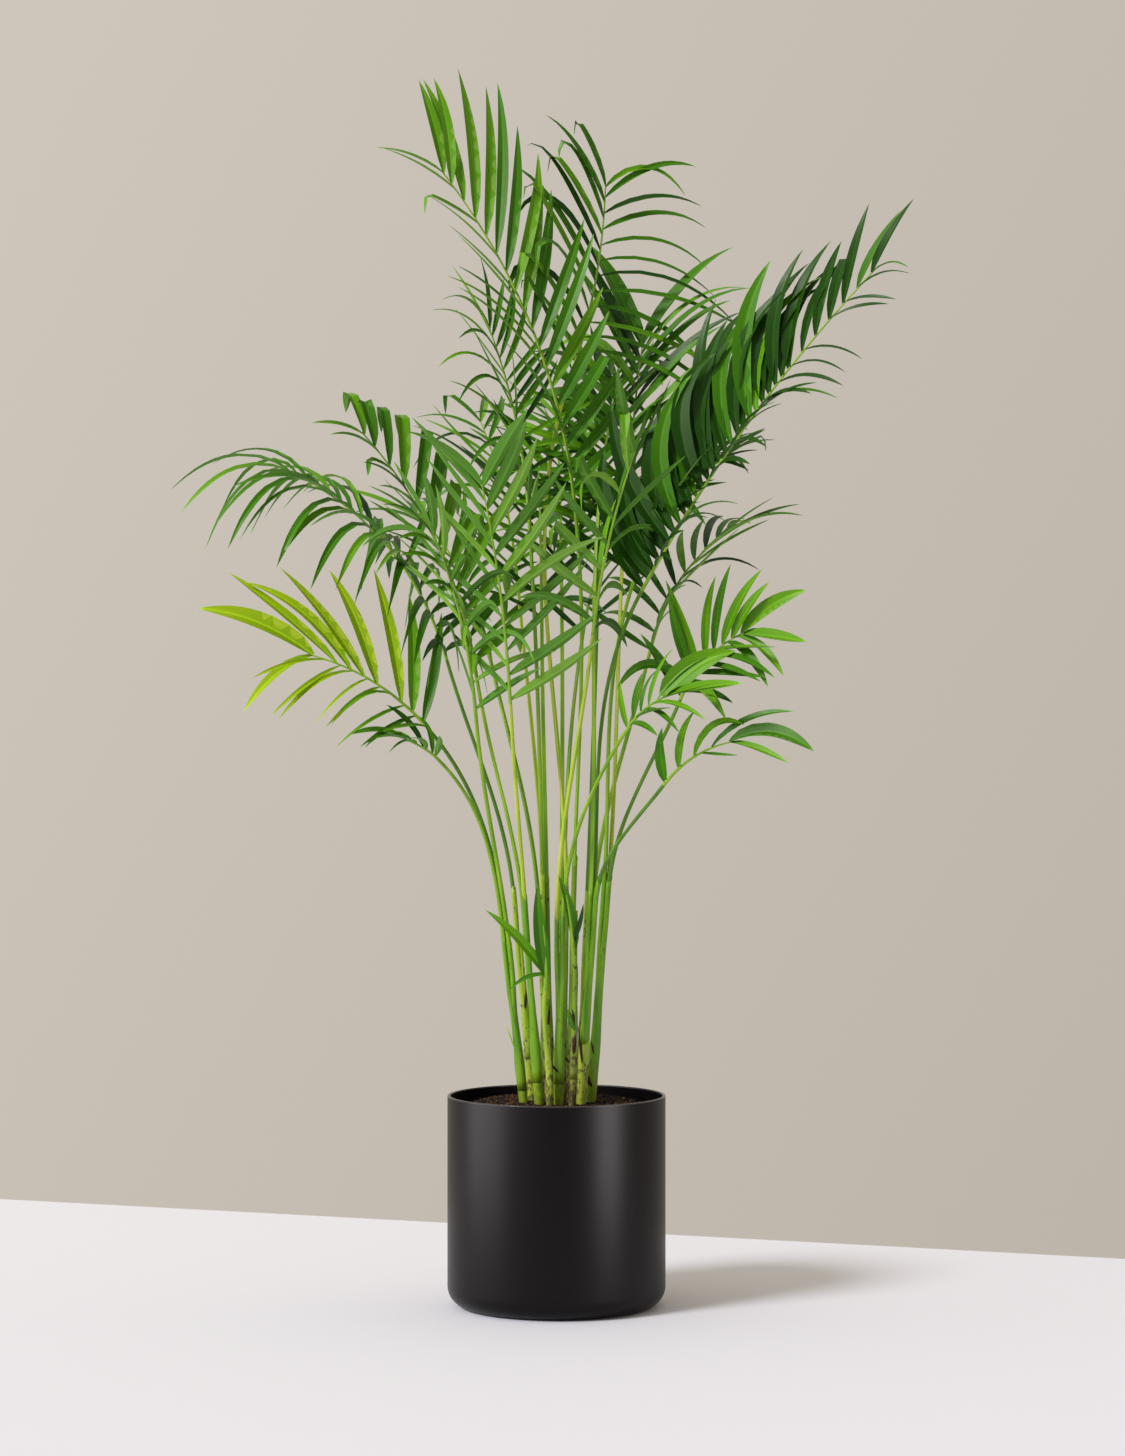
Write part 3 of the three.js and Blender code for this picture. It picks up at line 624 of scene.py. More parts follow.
def speckle_group() -> NodeTree:
    """Build the group that gives small brown flecks in clumps, thicker where Weight is high.

    Returns:
        The node tree, with output Mask from 0 to 1.
    """
    group = ShaderGroup("speckles", {"Amount": 0.5, "Weight": 0.0}, ("Mask",))
    place = group.node("TexCoord").outputs["Object"]
    factors = {0: place, 1: (1.0, 1.0, 0.4)}
    drawn_out = group.node("VectorMath", factors, operation="MULTIPLY").outputs["Vector"]
    flecks = group.noise(drawn_out, scale=330.0)
    clumps = group.noise(place, scale=60.0)
    both = group.maths("MULTIPLY", flecks, clumps)
    most_added = 0.14
    weighted = group.maths("MULTIPLY_ADD", group.given["Weight"], most_added, both)
    mask = group.ramp(weighted, low=0.335, high=0.40)
    group.wire(group.results["Mask"], group.maths("MULTIPLY", mask, group.given["Amount"]))
    return group.tree


@dataclass
class Effects:
    """The shader groups that several materials share."""

    mottle: NodeTree = field(default_factory=mottle_group)
    pleats: NodeTree = field(default_factory=pleat_group)
    rise: NodeTree = field(default_factory=rise_group)
    speckles: NodeTree = field(default_factory=speckle_group)


class MaterialSketch(NodeSketch):
    """A material under construction round one Principled shader."""

    def __init__(self, name: str, roughness: float, shine: float = 0.5) -> None:
        """Start a material.

        Args:
            name: Name of the material.
            roughness: Roughness of the Principled shader.
            shine: Level of its mirrored light.
        """
        self.material = bpy.data.materials.new(name)
        self.material.use_nodes = True
        super().__init__(self.material.node_tree)
        self.shader = self.tree.nodes["Principled BSDF"]
        self.feed("Roughness", roughness)
        self.feed("Specular IOR Level", shine)

    def feed(self, name: str, value: Value) -> None:
        """Feed a socket of the Principled shader."""
        self.wire(self.shader.inputs[name], value)

    def place(self, group: NodeTree, **values: Value) -> NodeOutputs:
        """Place a shared effect, give it its inputs and return its outputs."""
        return self.node("Group", values, node_tree=group).outputs

    def blend(
        self, share: NodeSocket, first: Colour | NodeSocket, second: Colour | NodeSocket
    ) -> NodeSocket:
        """Mix two colours.

        Args:
            share: Socket with the share of the second colour.
            first: A colour or a colour socket.
            second: A colour or a colour socket.

        Returns:
            The mixed colour's socket.
        """
        # The node has sockets of the same name for numbers, so those for colours go by number.
        mix = self.node("Mix", {0: share}, data_type="RGBA")
        for number, value in ((6, first), (7, second)):
            plain = not isinstance(value, NodeSocket)
            self.wire(mix.inputs[number], (*value, 1.0) if plain else value)
        return mix.outputs[2]

    def scale(self, value: Value, factor: float, offset: float = 0.0) -> NodeSocket:
        """Multiply a value by a factor and add an offset."""
        return self.maths("MULTIPLY_ADD", value, factor, offset)

    def relief(self, height: Value, depth: float, strength: float) -> None:
        """Give the surface a bump whose height runs from 0 to 1 over a depth in metres."""
        bump = self.node("Bump", {"Distance": depth, "Strength": strength, "Height": height})
        self.feed("Normal", bump.outputs["Normal"])


class Finish:
    """A finish that gives one material. Each kind paints the shader in its own way."""

    roughness: float
    shine: float = 0.5

    def build(self, name: str, effects: Effects) -> Material:
        """Make the material.

        Args:
            name: Name of the material.
            effects: The shared shader groups.

        Returns:
            The material.
        """
        sketch = MaterialSketch(name, self.roughness, self.shine)
        self.paint(sketch, effects)
        return sketch.material

    def paint(self, sketch: MaterialSketch, effects: Effects) -> None:
        """Feed the sockets of the shader."""
        raise NotImplementedError


@dataclass(frozen=True)
class LeafSide(Finish):
    """One side of a leaf.

    Patches and the foot of a leaflet take the second colour, the veins are darker than the first
    colour and the midrib is lighter.
    """

    colour: Colour
    second: Colour
    roughness: float
    uneven_roughness: float = 0.08
    shine: float = 0.24
    patches: float = 0.35
    foot: float = 0.75
    vein_colour: float = 0.72
    veins: float = 0.5
    midrib_colour: float = 1.5
    midrib: float = 0.4

    def paint(self, sketch: MaterialSketch, effects: Effects) -> None:
        """Paint the skin, its veins and its midrib."""
        mottle = sketch.place(effects.mottle, Scale=14.0, Stretch=1.0)
        pleats = sketch.place(effects.pleats, Veins=5.0)
        vein = tuple(channel * self.vein_colour for channel in self.colour)
        lighter = tuple(min(1.0, channel * self.midrib_colour + 0.01) for channel in self.colour)
        body = self.colour
        for share, colour in (
            (sketch.scale(mottle["Patches"], self.patches), self.second),
            (sketch.scale(pleats["Along"], -self.foot, self.foot), self.second),
            (sketch.scale(pleats["Height"], self.veins), vein),
            (sketch.scale(pleats["Midrib"], self.midrib), lighter),
        ):
            body = sketch.blend(share, body, colour)
        sketch.feed("Base Color", body)
        smoothest = self.roughness - self.uneven_roughness / 2
        sketch.feed("Roughness", sketch.scale(mottle["Grain"], self.uneven_roughness, smoothest))
        sketch.relief(pleats["Height"], depth=0.0003, strength=0.1)


@dataclass(frozen=True)
class LeafFinish:
    """Colours of the two sides of a leaf."""

    upper: Colour
    shade: Colour
    under: Colour
    roughness: float
    rougher_under: float = 0.2

    def build(self, name: str, effects: Effects) -> list[Material]:
        """Make the materials of the upper side and of the underside.

        Args:
            name: Name of the leaf colour.
            effects: The shared shader groups.

        Returns:
            The two materials.
        """
        upper = LeafSide(self.upper, self.shade, self.roughness)
        under = LeafSide(self.under, self.upper, self.roughness + self.rougher_under)
        return [
            upper.build(f"leaf_{name}_upper", effects),
            under.build(f"leaf_{name}_under", effects),
        ]


LEAF_FINISHES = {
    Tone.DEEP: LeafFinish(linear(37, 84, 3), linear(22, 60, 2), linear(66, 110, 36), 0.38),
    Tone.MID: LeafFinish(linear(76, 136, 6), linear(48, 106, 4), linear(100, 152, 58), 0.4),
    Tone.FRESH: LeafFinish(linear(110, 168, 10), linear(80, 142, 8), linear(130, 176, 76), 0.42),
    Tone.LIME: LeafFinish(linear(174, 202, 12), linear(104, 160, 12), linear(178, 204, 58), 0.44),
    Tone.DRY: LeafFinish(linear(74, 44, 34), linear(44, 26, 22), linear(110, 76, 54), 0.75),
}


@dataclass(frozen=True)
class StemFinish(Finish):
    """Colours of a stalk or rib."""

    colour: Colour
    patch: Colour
    roughness: float
    uneven_roughness: float = 0.15
    smoother: float = 0.07

    def paint(self, sketch: MaterialSketch, effects: Effects) -> None:
        """Paint long patches and fine grain."""
        mottle = sketch.place(effects.mottle, Scale=60.0, Stretch=0.12)
        sketch.feed("Base Color", sketch.blend(mottle["Patches"], self.colour, self.patch))
        smoothest = self.roughness - self.smoother
        sketch.feed("Roughness", sketch.scale(mottle["Grain"], self.uneven_roughness, smoothest))
        sketch.relief(mottle["Grain"], depth=0.0003, strength=0.3)


STALK_FINISHES = {
    StalkTone.GREEN: StemFinish(linear(98, 146, 14), linear(68, 118, 10), 0.5),
    StalkTone.LIGHT: StemFinish(linear(144, 186, 26), linear(104, 154, 18), 0.5),
    StalkTone.YELLOW: StemFinish(linear(196, 208, 70), linear(152, 184, 40), 0.5),
}
RIB_FINISH = StemFinish(linear(152, 190, 48), linear(116, 164, 30), 0.48)


@dataclass(frozen=True)
class SheathFinish(Finish):
    """Colours of the sheaths round a cane: paler at the foot, with brown flecks that are rough."""

    colour: Colour
    streak: Colour
    base: Colour
    fleck: Colour
    flecks: float
    reach: float
    paleness: float = 0.75
    roughness: float = 0.4
    fleck_roughness: float = 0.75

    def paint(self, sketch: MaterialSketch, effects: Effects) -> None:
        """Paint the streaks, the pale foot and the flecks."""
        mottle = sketch.place(effects.mottle, Scale=150.0, Stretch=0.05)
        low = sketch.place(effects.rise, From=SOIL_LEVEL * MM, Reach=self.reach)["Nearness"]
        flecks = sketch.place(effects.speckles, Amount=self.flecks, Weight=low)["Mask"]
        body = sketch.blend(mottle["Patches"], self.colour, self.streak)
        paler = sketch.blend(sketch.scale(low, self.paleness), body, self.base)
        sketch.feed("Base Color", sketch.blend(flecks, paler, self.fleck))
        rougher = self.fleck_roughness - self.roughness
        sketch.feed("Roughness", sketch.scale(flecks, rougher, self.roughness))
        sketch.relief(mottle["Grain"], depth=0.0005, strength=0.5)


SHEATH_FINISHES = {
    SheathTone.CLEAN: SheathFinish(
        linear(128, 180, 14), linear(84, 142, 8), linear(166, 194, 40), linear(86, 62, 38),
        flecks=0.4, reach=0.07,
    ),
    SheathTone.PALE: SheathFinish(
        linear(174, 202, 44), linear(130, 170, 22), linear(194, 202, 78), linear(64, 42, 28),
        flecks=0.8, reach=0.11,
    ),
    SheathTone.AGED: SheathFinish(
        linear(134, 170, 32), linear(90, 130, 18), linear(150, 142, 62), linear(70, 46, 32),
        flecks=0.9, reach=0.12,
    ),
}
UPPER_TONES = {
    SheathTone.CLEAN: SheathTone.CLEAN,
    SheathTone.PALE: SheathTone.CLEAN,
    SheathTone.AGED: SheathTone.PALE,
}


@dataclass(frozen=True)
class PotFinish(Finish):
    """Satin black moulded plastic, smoother along the rim, with a painted highlight there."""

    colour: Colour = linear(7, 5, 6)
    rim_highlight: Colour = linear(52, 50, 50)
    shine: float = 0.15
    roughness: float = 0.36
    rim_roughness: float = 0.22
    rim_from: float = 0.2690
    rim_reach: float = -0.0006
    patch_colour: float = 1.4
    patches: float = 0.5

    def paint(self, sketch: MaterialSketch, effects: Effects) -> None:
        """Paint the plastic, its smoother rim and a painted highlight in a lighter colour along the
        rim.
        """
        mottle = sketch.place(effects.mottle, Scale=14.0, Stretch=0.5)
        edge = sketch.place(effects.rise, From=self.rim_from, Reach=self.rim_reach)["Nearness"]
        lighter = tuple(channel * self.patch_colour for channel in self.colour)
        plastic = sketch.blend(sketch.scale(mottle["Patches"], self.patches), self.colour, lighter)
        # The rim's lighter colour is a painted highlight; only its smoother roughness belongs to the
        # plastic.
        sketch.feed("Base Color", sketch.blend(edge, plastic, self.rim_highlight))
        polish = self.rim_roughness - self.roughness
        sketch.feed("Roughness", sketch.scale(edge, polish, self.roughness))
        sketch.relief(mottle["Grain"], depth=0.0001, strength=0.08)


@dataclass(frozen=True)
class CrumbFinish(Finish):
    """One colour of the coir crumbs."""

    colour: Colour
    patch: Colour
    roughness: float = 0.9

    def paint(self, sketch: MaterialSketch, effects: Effects) -> None:
        """Paint small patches on a rough crumb."""
        mottle = sketch.place(effects.mottle, Scale=300.0, Stretch=1.0)
        sketch.feed("Base Color", sketch.blend(mottle["Patches"], self.colour, self.patch))
        sketch.relief(mottle["Grain"], depth=0.0005, strength=0.6)


CRUMB_FINISHES = (
    ("mix_dark", CrumbFinish(linear(26, 13, 7), linear(12, 6, 3))),
    ("mix_brown", CrumbFinish(linear(78, 44, 25), linear(46, 25, 14))),
    ("mix_light", CrumbFinish(linear(142, 96, 62), linear(100, 62, 38))),
)


class MeshSketch:
    """A joined mesh under construction, in millimetres."""

    def __init__(self) -> None:
        """Start with no points and no faces."""
        self.points: list[Triple] = []
        self.places: list[Pair] = []
        self.faces: list[tuple[int, ...]] = []
        self.finishes: list[int] = []

    def build(self, name: str, materials: Sequence[Material], crease: float) -> Object:
        """Make the object.

        Args:
            name: Name of the piece.
            materials: Its materials, in the order of the finish numbers.
            crease: Angle in degrees from which an edge is shown sharp.

        Returns:
            The object.
        """
        mesh = bpy.data.meshes.new(name)
        scaled = [(x * MM, y * MM, z * MM) for x, y, z in self.points]
        mesh.from_pydata(scaled, [], self.faces)
        layer = mesh.uv_layers.new(name=PLACES)
        corners = np.empty(len(mesh.loops), dtype=np.int32)
        mesh.loops.foreach_get("vertex_index", corners)
        layer.data.foreach_set("uv", np.asarray(self.places, dtype=np.float32)[corners].ravel())
        for material in materials:
            mesh.materials.append(material)
        mesh.polygons.foreach_set("material_index", np.asarray(self.finishes, dtype=np.int32))
        mesh.update()
        piece = bpy.data.objects.new(name, mesh)
        bpy.context.scene.collection.objects.link(piece)
        smooth_by_angle(piece, crease)
        return piece


class Pattern:
    """A shape modelled once, whose copies are bent into joined meshes.

    A long pattern is modelled along +Z from 0 to 1. The texture place of a corner is its X, moved
    to run from 0 to 1, and its Z.
    """

    front_tilt = 0.2

    def __init__(self, piece: Object) -> None:
        """Take the corners and faces of a modelled piece and remove the piece.

        Args:
            piece: The piece.
        """
        mesh = piece.data
        self.corners = [vertex.co.copy() for vertex in mesh.vertices]
        self.faces = [tuple(face.vertices) for face in mesh.polygons]
        self.front = [face.normal.y > self.front_tilt for face in mesh.polygons]
        self.shares = sorted({round(corner.z, 4) for corner in self.corners})
        bpy.data.objects.remove(piece)

    def lay(
        self,
        sketch: MeshSketch,
        bend: Callable[[Vector], Vector],
        finishes: Sequence[int],
        mirrored: bool = False,
    ) -> None:
        """Add a bent copy to a joined mesh.

        Args:
            sketch: The joined mesh.
            bend: Gives the new place of a corner of the pattern.
            finishes: Finish number of each face.
            mirrored: True where the bend turns the shape inside out.
        """
        first = len(sketch.points)
        for corner in self.corners:
            sketch.points.append(bend(corner).to_tuple())
            sketch.places.append((min(max(corner.x + 0.5, 0.0), 1.0), corner.z))
        for face, finish in zip(self.faces, finishes):
            order = reversed(face) if mirrored else face
            sketch.faces.append(tuple(first + index for index in order))
            sketch.finishes.append(finish)


@dataclass
class Section:
    """A cross-section's middle and the directions that span it."""

    centre: Vector
    across: Vector
    above: Vector
    forward: Vector


def select_only(piece: Object) -> None:
    """Make a piece the only selected one, and the active one."""
    bpy.ops.object.select_all(action="DESELECT")
    piece.select_set(True)
    bpy.context.view_layer.objects.active = piece


def smooth_by_angle(piece: Object, degrees: float) -> None:
    """Shade a piece smooth, with edges sharper than an angle left sharp.

    Args:
        piece: The piece.
        degrees: The angle in degrees.
    """
    select_only(piece)
    bpy.ops.object.shade_smooth_by_angle(angle=math.radians(degrees))
    piece.select_set(False)


class Bench:
    """Editing of one piece with Blender's operators."""

    def __init__(self, name: str, add: Callable[..., object], **sizes: object) -> None:
        """Put a new piece onto the bench.

        Args:
            name: Name of the piece.
            add: The operator that adds the primitive that it starts from.
            **sizes: What the operator is given.
        """
        bpy.ops.object.select_all(action="DESELECT")
        add(**sizes)
        self.piece = bpy.context.active_object
        self.piece.name = name
        self.piece.data.name = name

    def __enter__(self) -> Bench:
        """Enter edit mode."""
        select_only(self.piece)
        bpy.ops.object.mode_set(mode="EDIT")
        return self

    def __exit__(self, *_details: object) -> None:
        """Leave edit mode and deselect the piece."""
        bpy.ops.object.mode_set(mode="OBJECT")
        self.piece.select_set(False)

    def pick(self, kind: str, test: Callable[[Vector], bool]) -> None:
        """Select the corners, edges or faces whose points all pass a test, in world units.

        Args:
            kind: VERT, EDGE or FACE.
            test: Says whether a point counts.
        """
        bpy.ops.mesh.select_mode(type=kind)
        bpy.ops.mesh.select_all(action="DESELECT")
        sketch = bmesh.from_edit_mesh(self.piece.data)
        parts = {"VERT": sketch.verts, "EDGE": sketch.edges, "FACE": sketch.faces}[kind]
        place = self.piece.matrix_world
        for part in parts:
            points = [part] if kind == "VERT" else part.verts
            part.select_set(all(test(place @ point.co) for point in points))
        sketch.select_flush_mode()
        bmesh.update_edit_mesh(self.piece.data)

    def pick_all(self, kind: str) -> None:
        """Select everything, as corners, edges or faces."""
        bpy.ops.mesh.select_mode(type=kind)
        bpy.ops.mesh.select_all(action="SELECT")

    def extrude(
        self,
        shift: Sequence[float],
        scale: Sequence[float] | None = None,
        centre: Sequence[float] = (0.0, 0.0, 0.0),
    ) -> None:
        """Extrude what is selected.

        Args:
            shift: How far the new end moves.
            scale: How much it grows, if it does.
            centre: The point that it grows from.
        """
        bpy.ops.mesh.extrude_region_move(TRANSFORM_OT_translate={"value": shift})
        if scale:
            bpy.ops.transform.resize(value=scale, center_override=centre)

    def bevel(self, width: float, segments: int, test: Callable[[Vector], bool]) -> None:
        """Round the edges whose points pass a test, by a width in millimetres."""
        self.pick("EDGE", test)
        bpy.ops.mesh.bevel(offset=width * MM, segments=segments)

    def turn_outwards(self) -> None:
        """Turn all faces outwards."""
        bpy.ops.mesh.select_all(action="SELECT")
        bpy.ops.mesh.normals_make_consistent(inside=False)

    def finish(self, materials: Sequence[Material], crease: float) -> Object:
        """Put the piece's place into its mesh, dress it and shade it.

        Args:
            materials: Its materials.
            crease: Angle in degrees from which an edge is shown sharp.

        Returns:
            The piece.
        """
        select_only(self.piece)
        bpy.ops.object.transform_apply(location=True, rotation=True, scale=True)
        self.piece.data.materials.clear()
        for material in materials:
            self.piece.data.materials.append(material)
        smooth_by_angle(self.piece, crease)
        return self.piece


def apply_modifiers(piece: Object) -> None:
    """Apply every modifier of a piece."""
    select_only(piece)
    for modifier in list(piece.modifiers):
        bpy.ops.object.modifier_apply(modifier=modifier.name)
    piece.select_set(False)


def settle(piece: Object, slot: str, *nodes: str) -> Object:
    """Fix a piece to the body and let it stand for its nodes.

    Args:
        piece: The piece.
        slot: Not used.
        *nodes: The CAD nodes that it replaces.

    Returns:
        The piece.
    """
    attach(piece, BODY)
    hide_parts(*nodes)
    LOG.info("%s: %d faces", piece.name, len(piece.data.polygons))
    return piece


def jitter_source(seed: int) -> Callable[[], float]:
    """Return a repeatable source of numbers between -1 and 1.

    Args:
        seed: Seed of the source.

    Returns:
        A function that gives the next number.
    """
    mask = 0xFFFFFFFF
    state = seed & mask

    def draw() -> float:
        """Return the next number."""
        nonlocal state
        state = (state + 0x6D2B79F5) & mask
        mixed = ((state ^ (state >> 15)) * (state | 1)) & mask
        mixed ^= (mixed + (((mixed ^ (mixed >> 7)) * (mixed | 61)) & mask)) & mask
        return (mixed ^ (mixed >> 14)) / (mask + 1) * 2 - 1

    return draw


@dataclass
class Pot:
    """Thin-walled cylinder pot with a rounded foot."""

    radius: float = 140.0
    height: float = 270.0
    wall: float = 4.0
    foot_round: float = 26.0
    rim_round: float = 1.2
    sides: int = 160
    foot_steps: int = 10
    rim_steps: int = 3
    inside_from: float = 1.3
    crease: float = 35.0
    turned_inwards: float = -1e-3

    def build(self, effects: Effects) -> Object:
        """Model and dress the pot.

        Args:
            effects: The shared shader groups.

        Returns:
            The pot.
        """
        radius = self.radius * MM
        height = self.height * MM
        inner = radius - self.wall * MM
        floor = self.wall * MM
        bench = Bench(
            "pot_shell", bpy.ops.mesh.primitive_cylinder_add,
            vertices=self.sides, radius=radius, depth=height, location=(0, 0, height / 2),
        )
        with bench:
            bench.pick("FACE", lambda point: point.z > height - NEAR)
            bpy.ops.mesh.inset(thickness=self.wall * MM)
            bench.extrude((0, 0, floor - height))
            inside_round = self.foot_round - self.wall
            bench.bevel(inside_round, self.foot_steps, lambda point: abs(point.z - floor) < NEAR)
            bench.bevel(self.foot_round, self.foot_steps, lambda point: point.z < NEAR)
            for edge in (inner, radius):
                bench.bevel(
                    self.rim_round, self.rim_steps,
                    lambda point: point.z > height - NEAR
                    and abs(point.xy.length - edge) < 10 * NEAR,
                )
        outside = PotFinish().build("pot_black", effects)
        inside = PotFinish(shine=0.03, roughness=0.8).build("pot_inside", effects)
        piece = bench.finish([outside, inside], self.crease)
        for face in piece.data.polygons:
            depth = height - face.center.z
            inwards = face.center.xy.dot(face.normal.xy) < self.turned_inwards
            if depth > self.inside_from * MM and inwards:
                face.material_index = 1
        return settle(piece, "pot", "pot")


@dataclass
class PottingMix:
    """Uneven bed of coir potting mix with loose crumbs on it."""

    level_radius: float = 92.0
    edge_height: float = 249.0
    bed_radius: float = 135.4
    bottom: float = 6.0
    foot_round: float = 22.0
    foot_steps: int = 4
    ring_step: float = 4.0
    sides: int = 120
    unevenness: float = 3.0
    bed_crease: float = 60.0
    crumbs: int = 5200
    crumb_margin: float = 2.5
    crumb_size: Pair = (1.6, 4.6)
    crumb_thinnest: Triple = (0.7, 0.45, 0.35)
    crumb_thickest: Triple = (1.7, 0.9, 0.7)
    crumb_rise: Pair = (-0.8, 0.3)
    crumb_colours: Triple = (0.5, 0.34, 0.16)
    crumb_crease: float = 20.0
    cane_overlap: float = 0.9
    seed: int = 41

    def surface(self, distance: float) -> float:
        """Return the height of the bed at a distance from the pot's axis."""
        slope = smoothstep(distance, self.level_radius, self.bed_radius)
        return lerp(SOIL_LEVEL, self.edge_height, slope)

    def build(self, effects: Effects) -> None:
        """Model and dress the bed and its crumbs.

        Args:
            effects: The shared shader groups.
        """
        materials = [finish.build(name, effects) for name, finish in CRUMB_FINISHES]
        self.build_bed(materials[0])
        self.build_crumbs(materials)

    def build_bed(self, material: Material) -> None:
        """Model the closed block under the crumbs.

        Args:
            material: Its material.
        """
        top = SOIL_LEVEL * MM
        radius = self.bed_radius
        bench = Bench(
            "potting_mix_bed", bpy.ops.mesh.primitive_cylinder_add,
            vertices=self.sides, radius=radius * MM, depth=(SOIL_LEVEL - self.bottom) * MM,
            location=(0, 0, (SOIL_LEVEL + self.bottom) / 2 * MM),
        )
        with bench:
            bottom = self.bottom * MM
            bench.bevel(self.foot_round, self.foot_steps, lambda point: point.z < bottom + NEAR)
            bench.pick("FACE", lambda point: point.z > top - NEAR)
            while radius > 2 * self.ring_step:
                bpy.ops.mesh.inset(thickness=self.ring_step * MM)
                radius -= self.ring_step
        piece = bench.finish([material], self.bed_crease)
        draw = jitter_source(self.seed)
        for vertex in piece.data.vertices:
            if vertex.co.z > top - NEAR:
                distance = vertex.co.xy.length / MM
                lump = self.unevenness * (draw() - 1) / 2
                vertex.co.z = (self.surface(distance) + lump) * MM
        settle(piece, "soil", "soil")

    def model_crumb(self) -> Pattern:
        """Model the crumb that all crumbs are copied from, 1 mm across.

        Returns:
            The pattern.
        """
        ball = {"subdivisions": 1, "radius": 0.5}
        with Bench("crumb", bpy.ops.mesh.primitive_ico_sphere_add, **ball) as bench:
            bench.pick("VERT", lambda point: point.z > 0.1)
            bpy.ops.transform.resize(value=(0.8, 1.2, 0.7), center_override=(0.1, 0.0, 0.2))
            bench.pick("VERT", lambda point: point.z < -0.1)
            bpy.ops.transform.translate(value=(0.08, -0.06, 0.05))
        return Pattern(bench.piece)

    def build_crumbs(self, materials: Sequence[Material]) -> None:
        """Scatter crumbs over the bed as one joined mesh.

        Args:
            materials: Dark, brown and light crumb materials.
        """
        pattern = self.model_crumb()
        rng = np.random.default_rng(self.seed)
        sketch = MeshSketch()
        reach = self.bed_radius - self.crumb_margin
        for _ in range(self.crumbs):
            distance = reach * math.sqrt(rng.random())
            compass = rng.random() * 2 * math.pi
            centre = Vector((math.cos(compass) * distance, math.sin(compass) * distance, 0.0))
            size = rng.uniform(*self.crumb_size)
            squash = rng.uniform(self.crumb_thinnest, self.crumb_thickest) * size
            turn = Euler(rng.uniform(-math.pi, math.pi, 3)).to_matrix() @ Matrix.Diagonal(squash)
            finish = int(rng.choice(len(self.crumb_colours), p=self.crumb_colours))
            if self.under_cane(centre, size):
                continue
            centre.z = self.surface(distance) + rng.uniform(*self.crumb_rise)
            finishes = [finish] * len(pattern.faces)
            pattern.lay(sketch, lambda corner: centre + turn @ corner, finishes)
        piece = sketch.build("potting_mix_crumbs", materials, self.crumb_crease)
        settle(piece, "soil", "soil")

    def under_cane(self, place: Vector, size: float) -> bool:
        """Say whether a crumb would lie inside a cane."""
        return any(
            math.dist(place.xy, cane.foot) < cane.radius * self.cane_overlap + size / 2
            for cane in CANES
        )


class Course:
    """A Bezier curve read by its share of length."""

    nudge = 1e-4

    def __init__(self, handles: Sequence[Vector], steps: int = 200) -> None:
        """Measure the curve.

        Args:
            handles: Three or four control points.
            steps: Number of stretches that measure the length.
        """
        self.handles = list(handles)
        self.marks = np.linspace(0.0, 1.0, steps + 1)
        points = [self.evaluate(mark) for mark in self.marks]
        lengths = [0.0]
        for near, far in zip(points, points[1:]):
            lengths.append(lengths[-1] + (far - near).length)
        self.lengths = np.array(lengths)
        self.length = lengths[-1]

    def evaluate(self, mark: float) -> Vector:
        """Return the point at a value of the curve's own parameter."""
        points = self.handles
        while len(points) > 1:
            points = [near.lerp(far, mark) for near, far in zip(points, points[1:])]
        return points[0]

    def mark(self, share: float) -> float:
        """Return the parameter at a share of the length."""
        return float(np.interp(share * self.length, self.lengths, self.marks))

    def point(self, share: float) -> Vector:
        """Return the point at a share of the length."""
        return self.evaluate(self.mark(share))

    def tangent(self, share: float) -> Vector:
        """Return the direction at a share of the length."""
        mark = self.mark(share)
        low = max(mark - self.nudge, 0.0)
        high = min(mark + self.nudge, 1.0)
        return (self.evaluate(high) - self.evaluate(low)).normalized()


class TubePattern(Pattern):
    """A tube that stalks and ribs are bent from, with a shallow groove along it."""

    def __init__(self, sides: int, rings: int, groove: float) -> None:
        """Model the tube upright, 1 long and with a radius of 1.

        Args:
            sides: Corners of each ring.
            rings: Stretches along the tube.
            groove: Share of the radius that is left in the groove, which faces +Y.
        """
        circle = {"vertices": sides, "radius": 1.0, "fill_type": "NGON"}
        with Bench("tube", bpy.ops.mesh.primitive_circle_add, **circle) as bench:
            bench.pick("VERT", lambda point: point.y > 0.999)
            bpy.ops.transform.translate(value=(0, groove - 1, 0))
            bench.pick_all("FACE")
            for _ in range(rings):
                bench.extrude((0, 0, 1 / rings))
            bench.turn_outwards()
        super().__init__(bench.piece)

    def lay_along(
        self,
        sketch: MeshSketch,
        section_at: Callable[[float], Section],
        radii: Pair,
        finish: int,
    ) -> None:
        """Add a bent tube to a joined mesh.

        Args:
            sketch: The mesh.
            section_at: Gives the section at a share of the tube.
            radii: Radius at its start and at its end.
            finish: Its finish number.
        """
        sections = {share: section_at(share) for share in self.shares}

        def bend(corner: Vector) -> Vector:
            """Return the new place of a corner."""
            share = round(corner.z, 4)
            section = sections[share]
            away = section.across * corner.x + section.above * corner.y
            return section.centre + away * lerp(*radii, share)

        self.lay(sketch, bend, [finish] * len(self.faces))


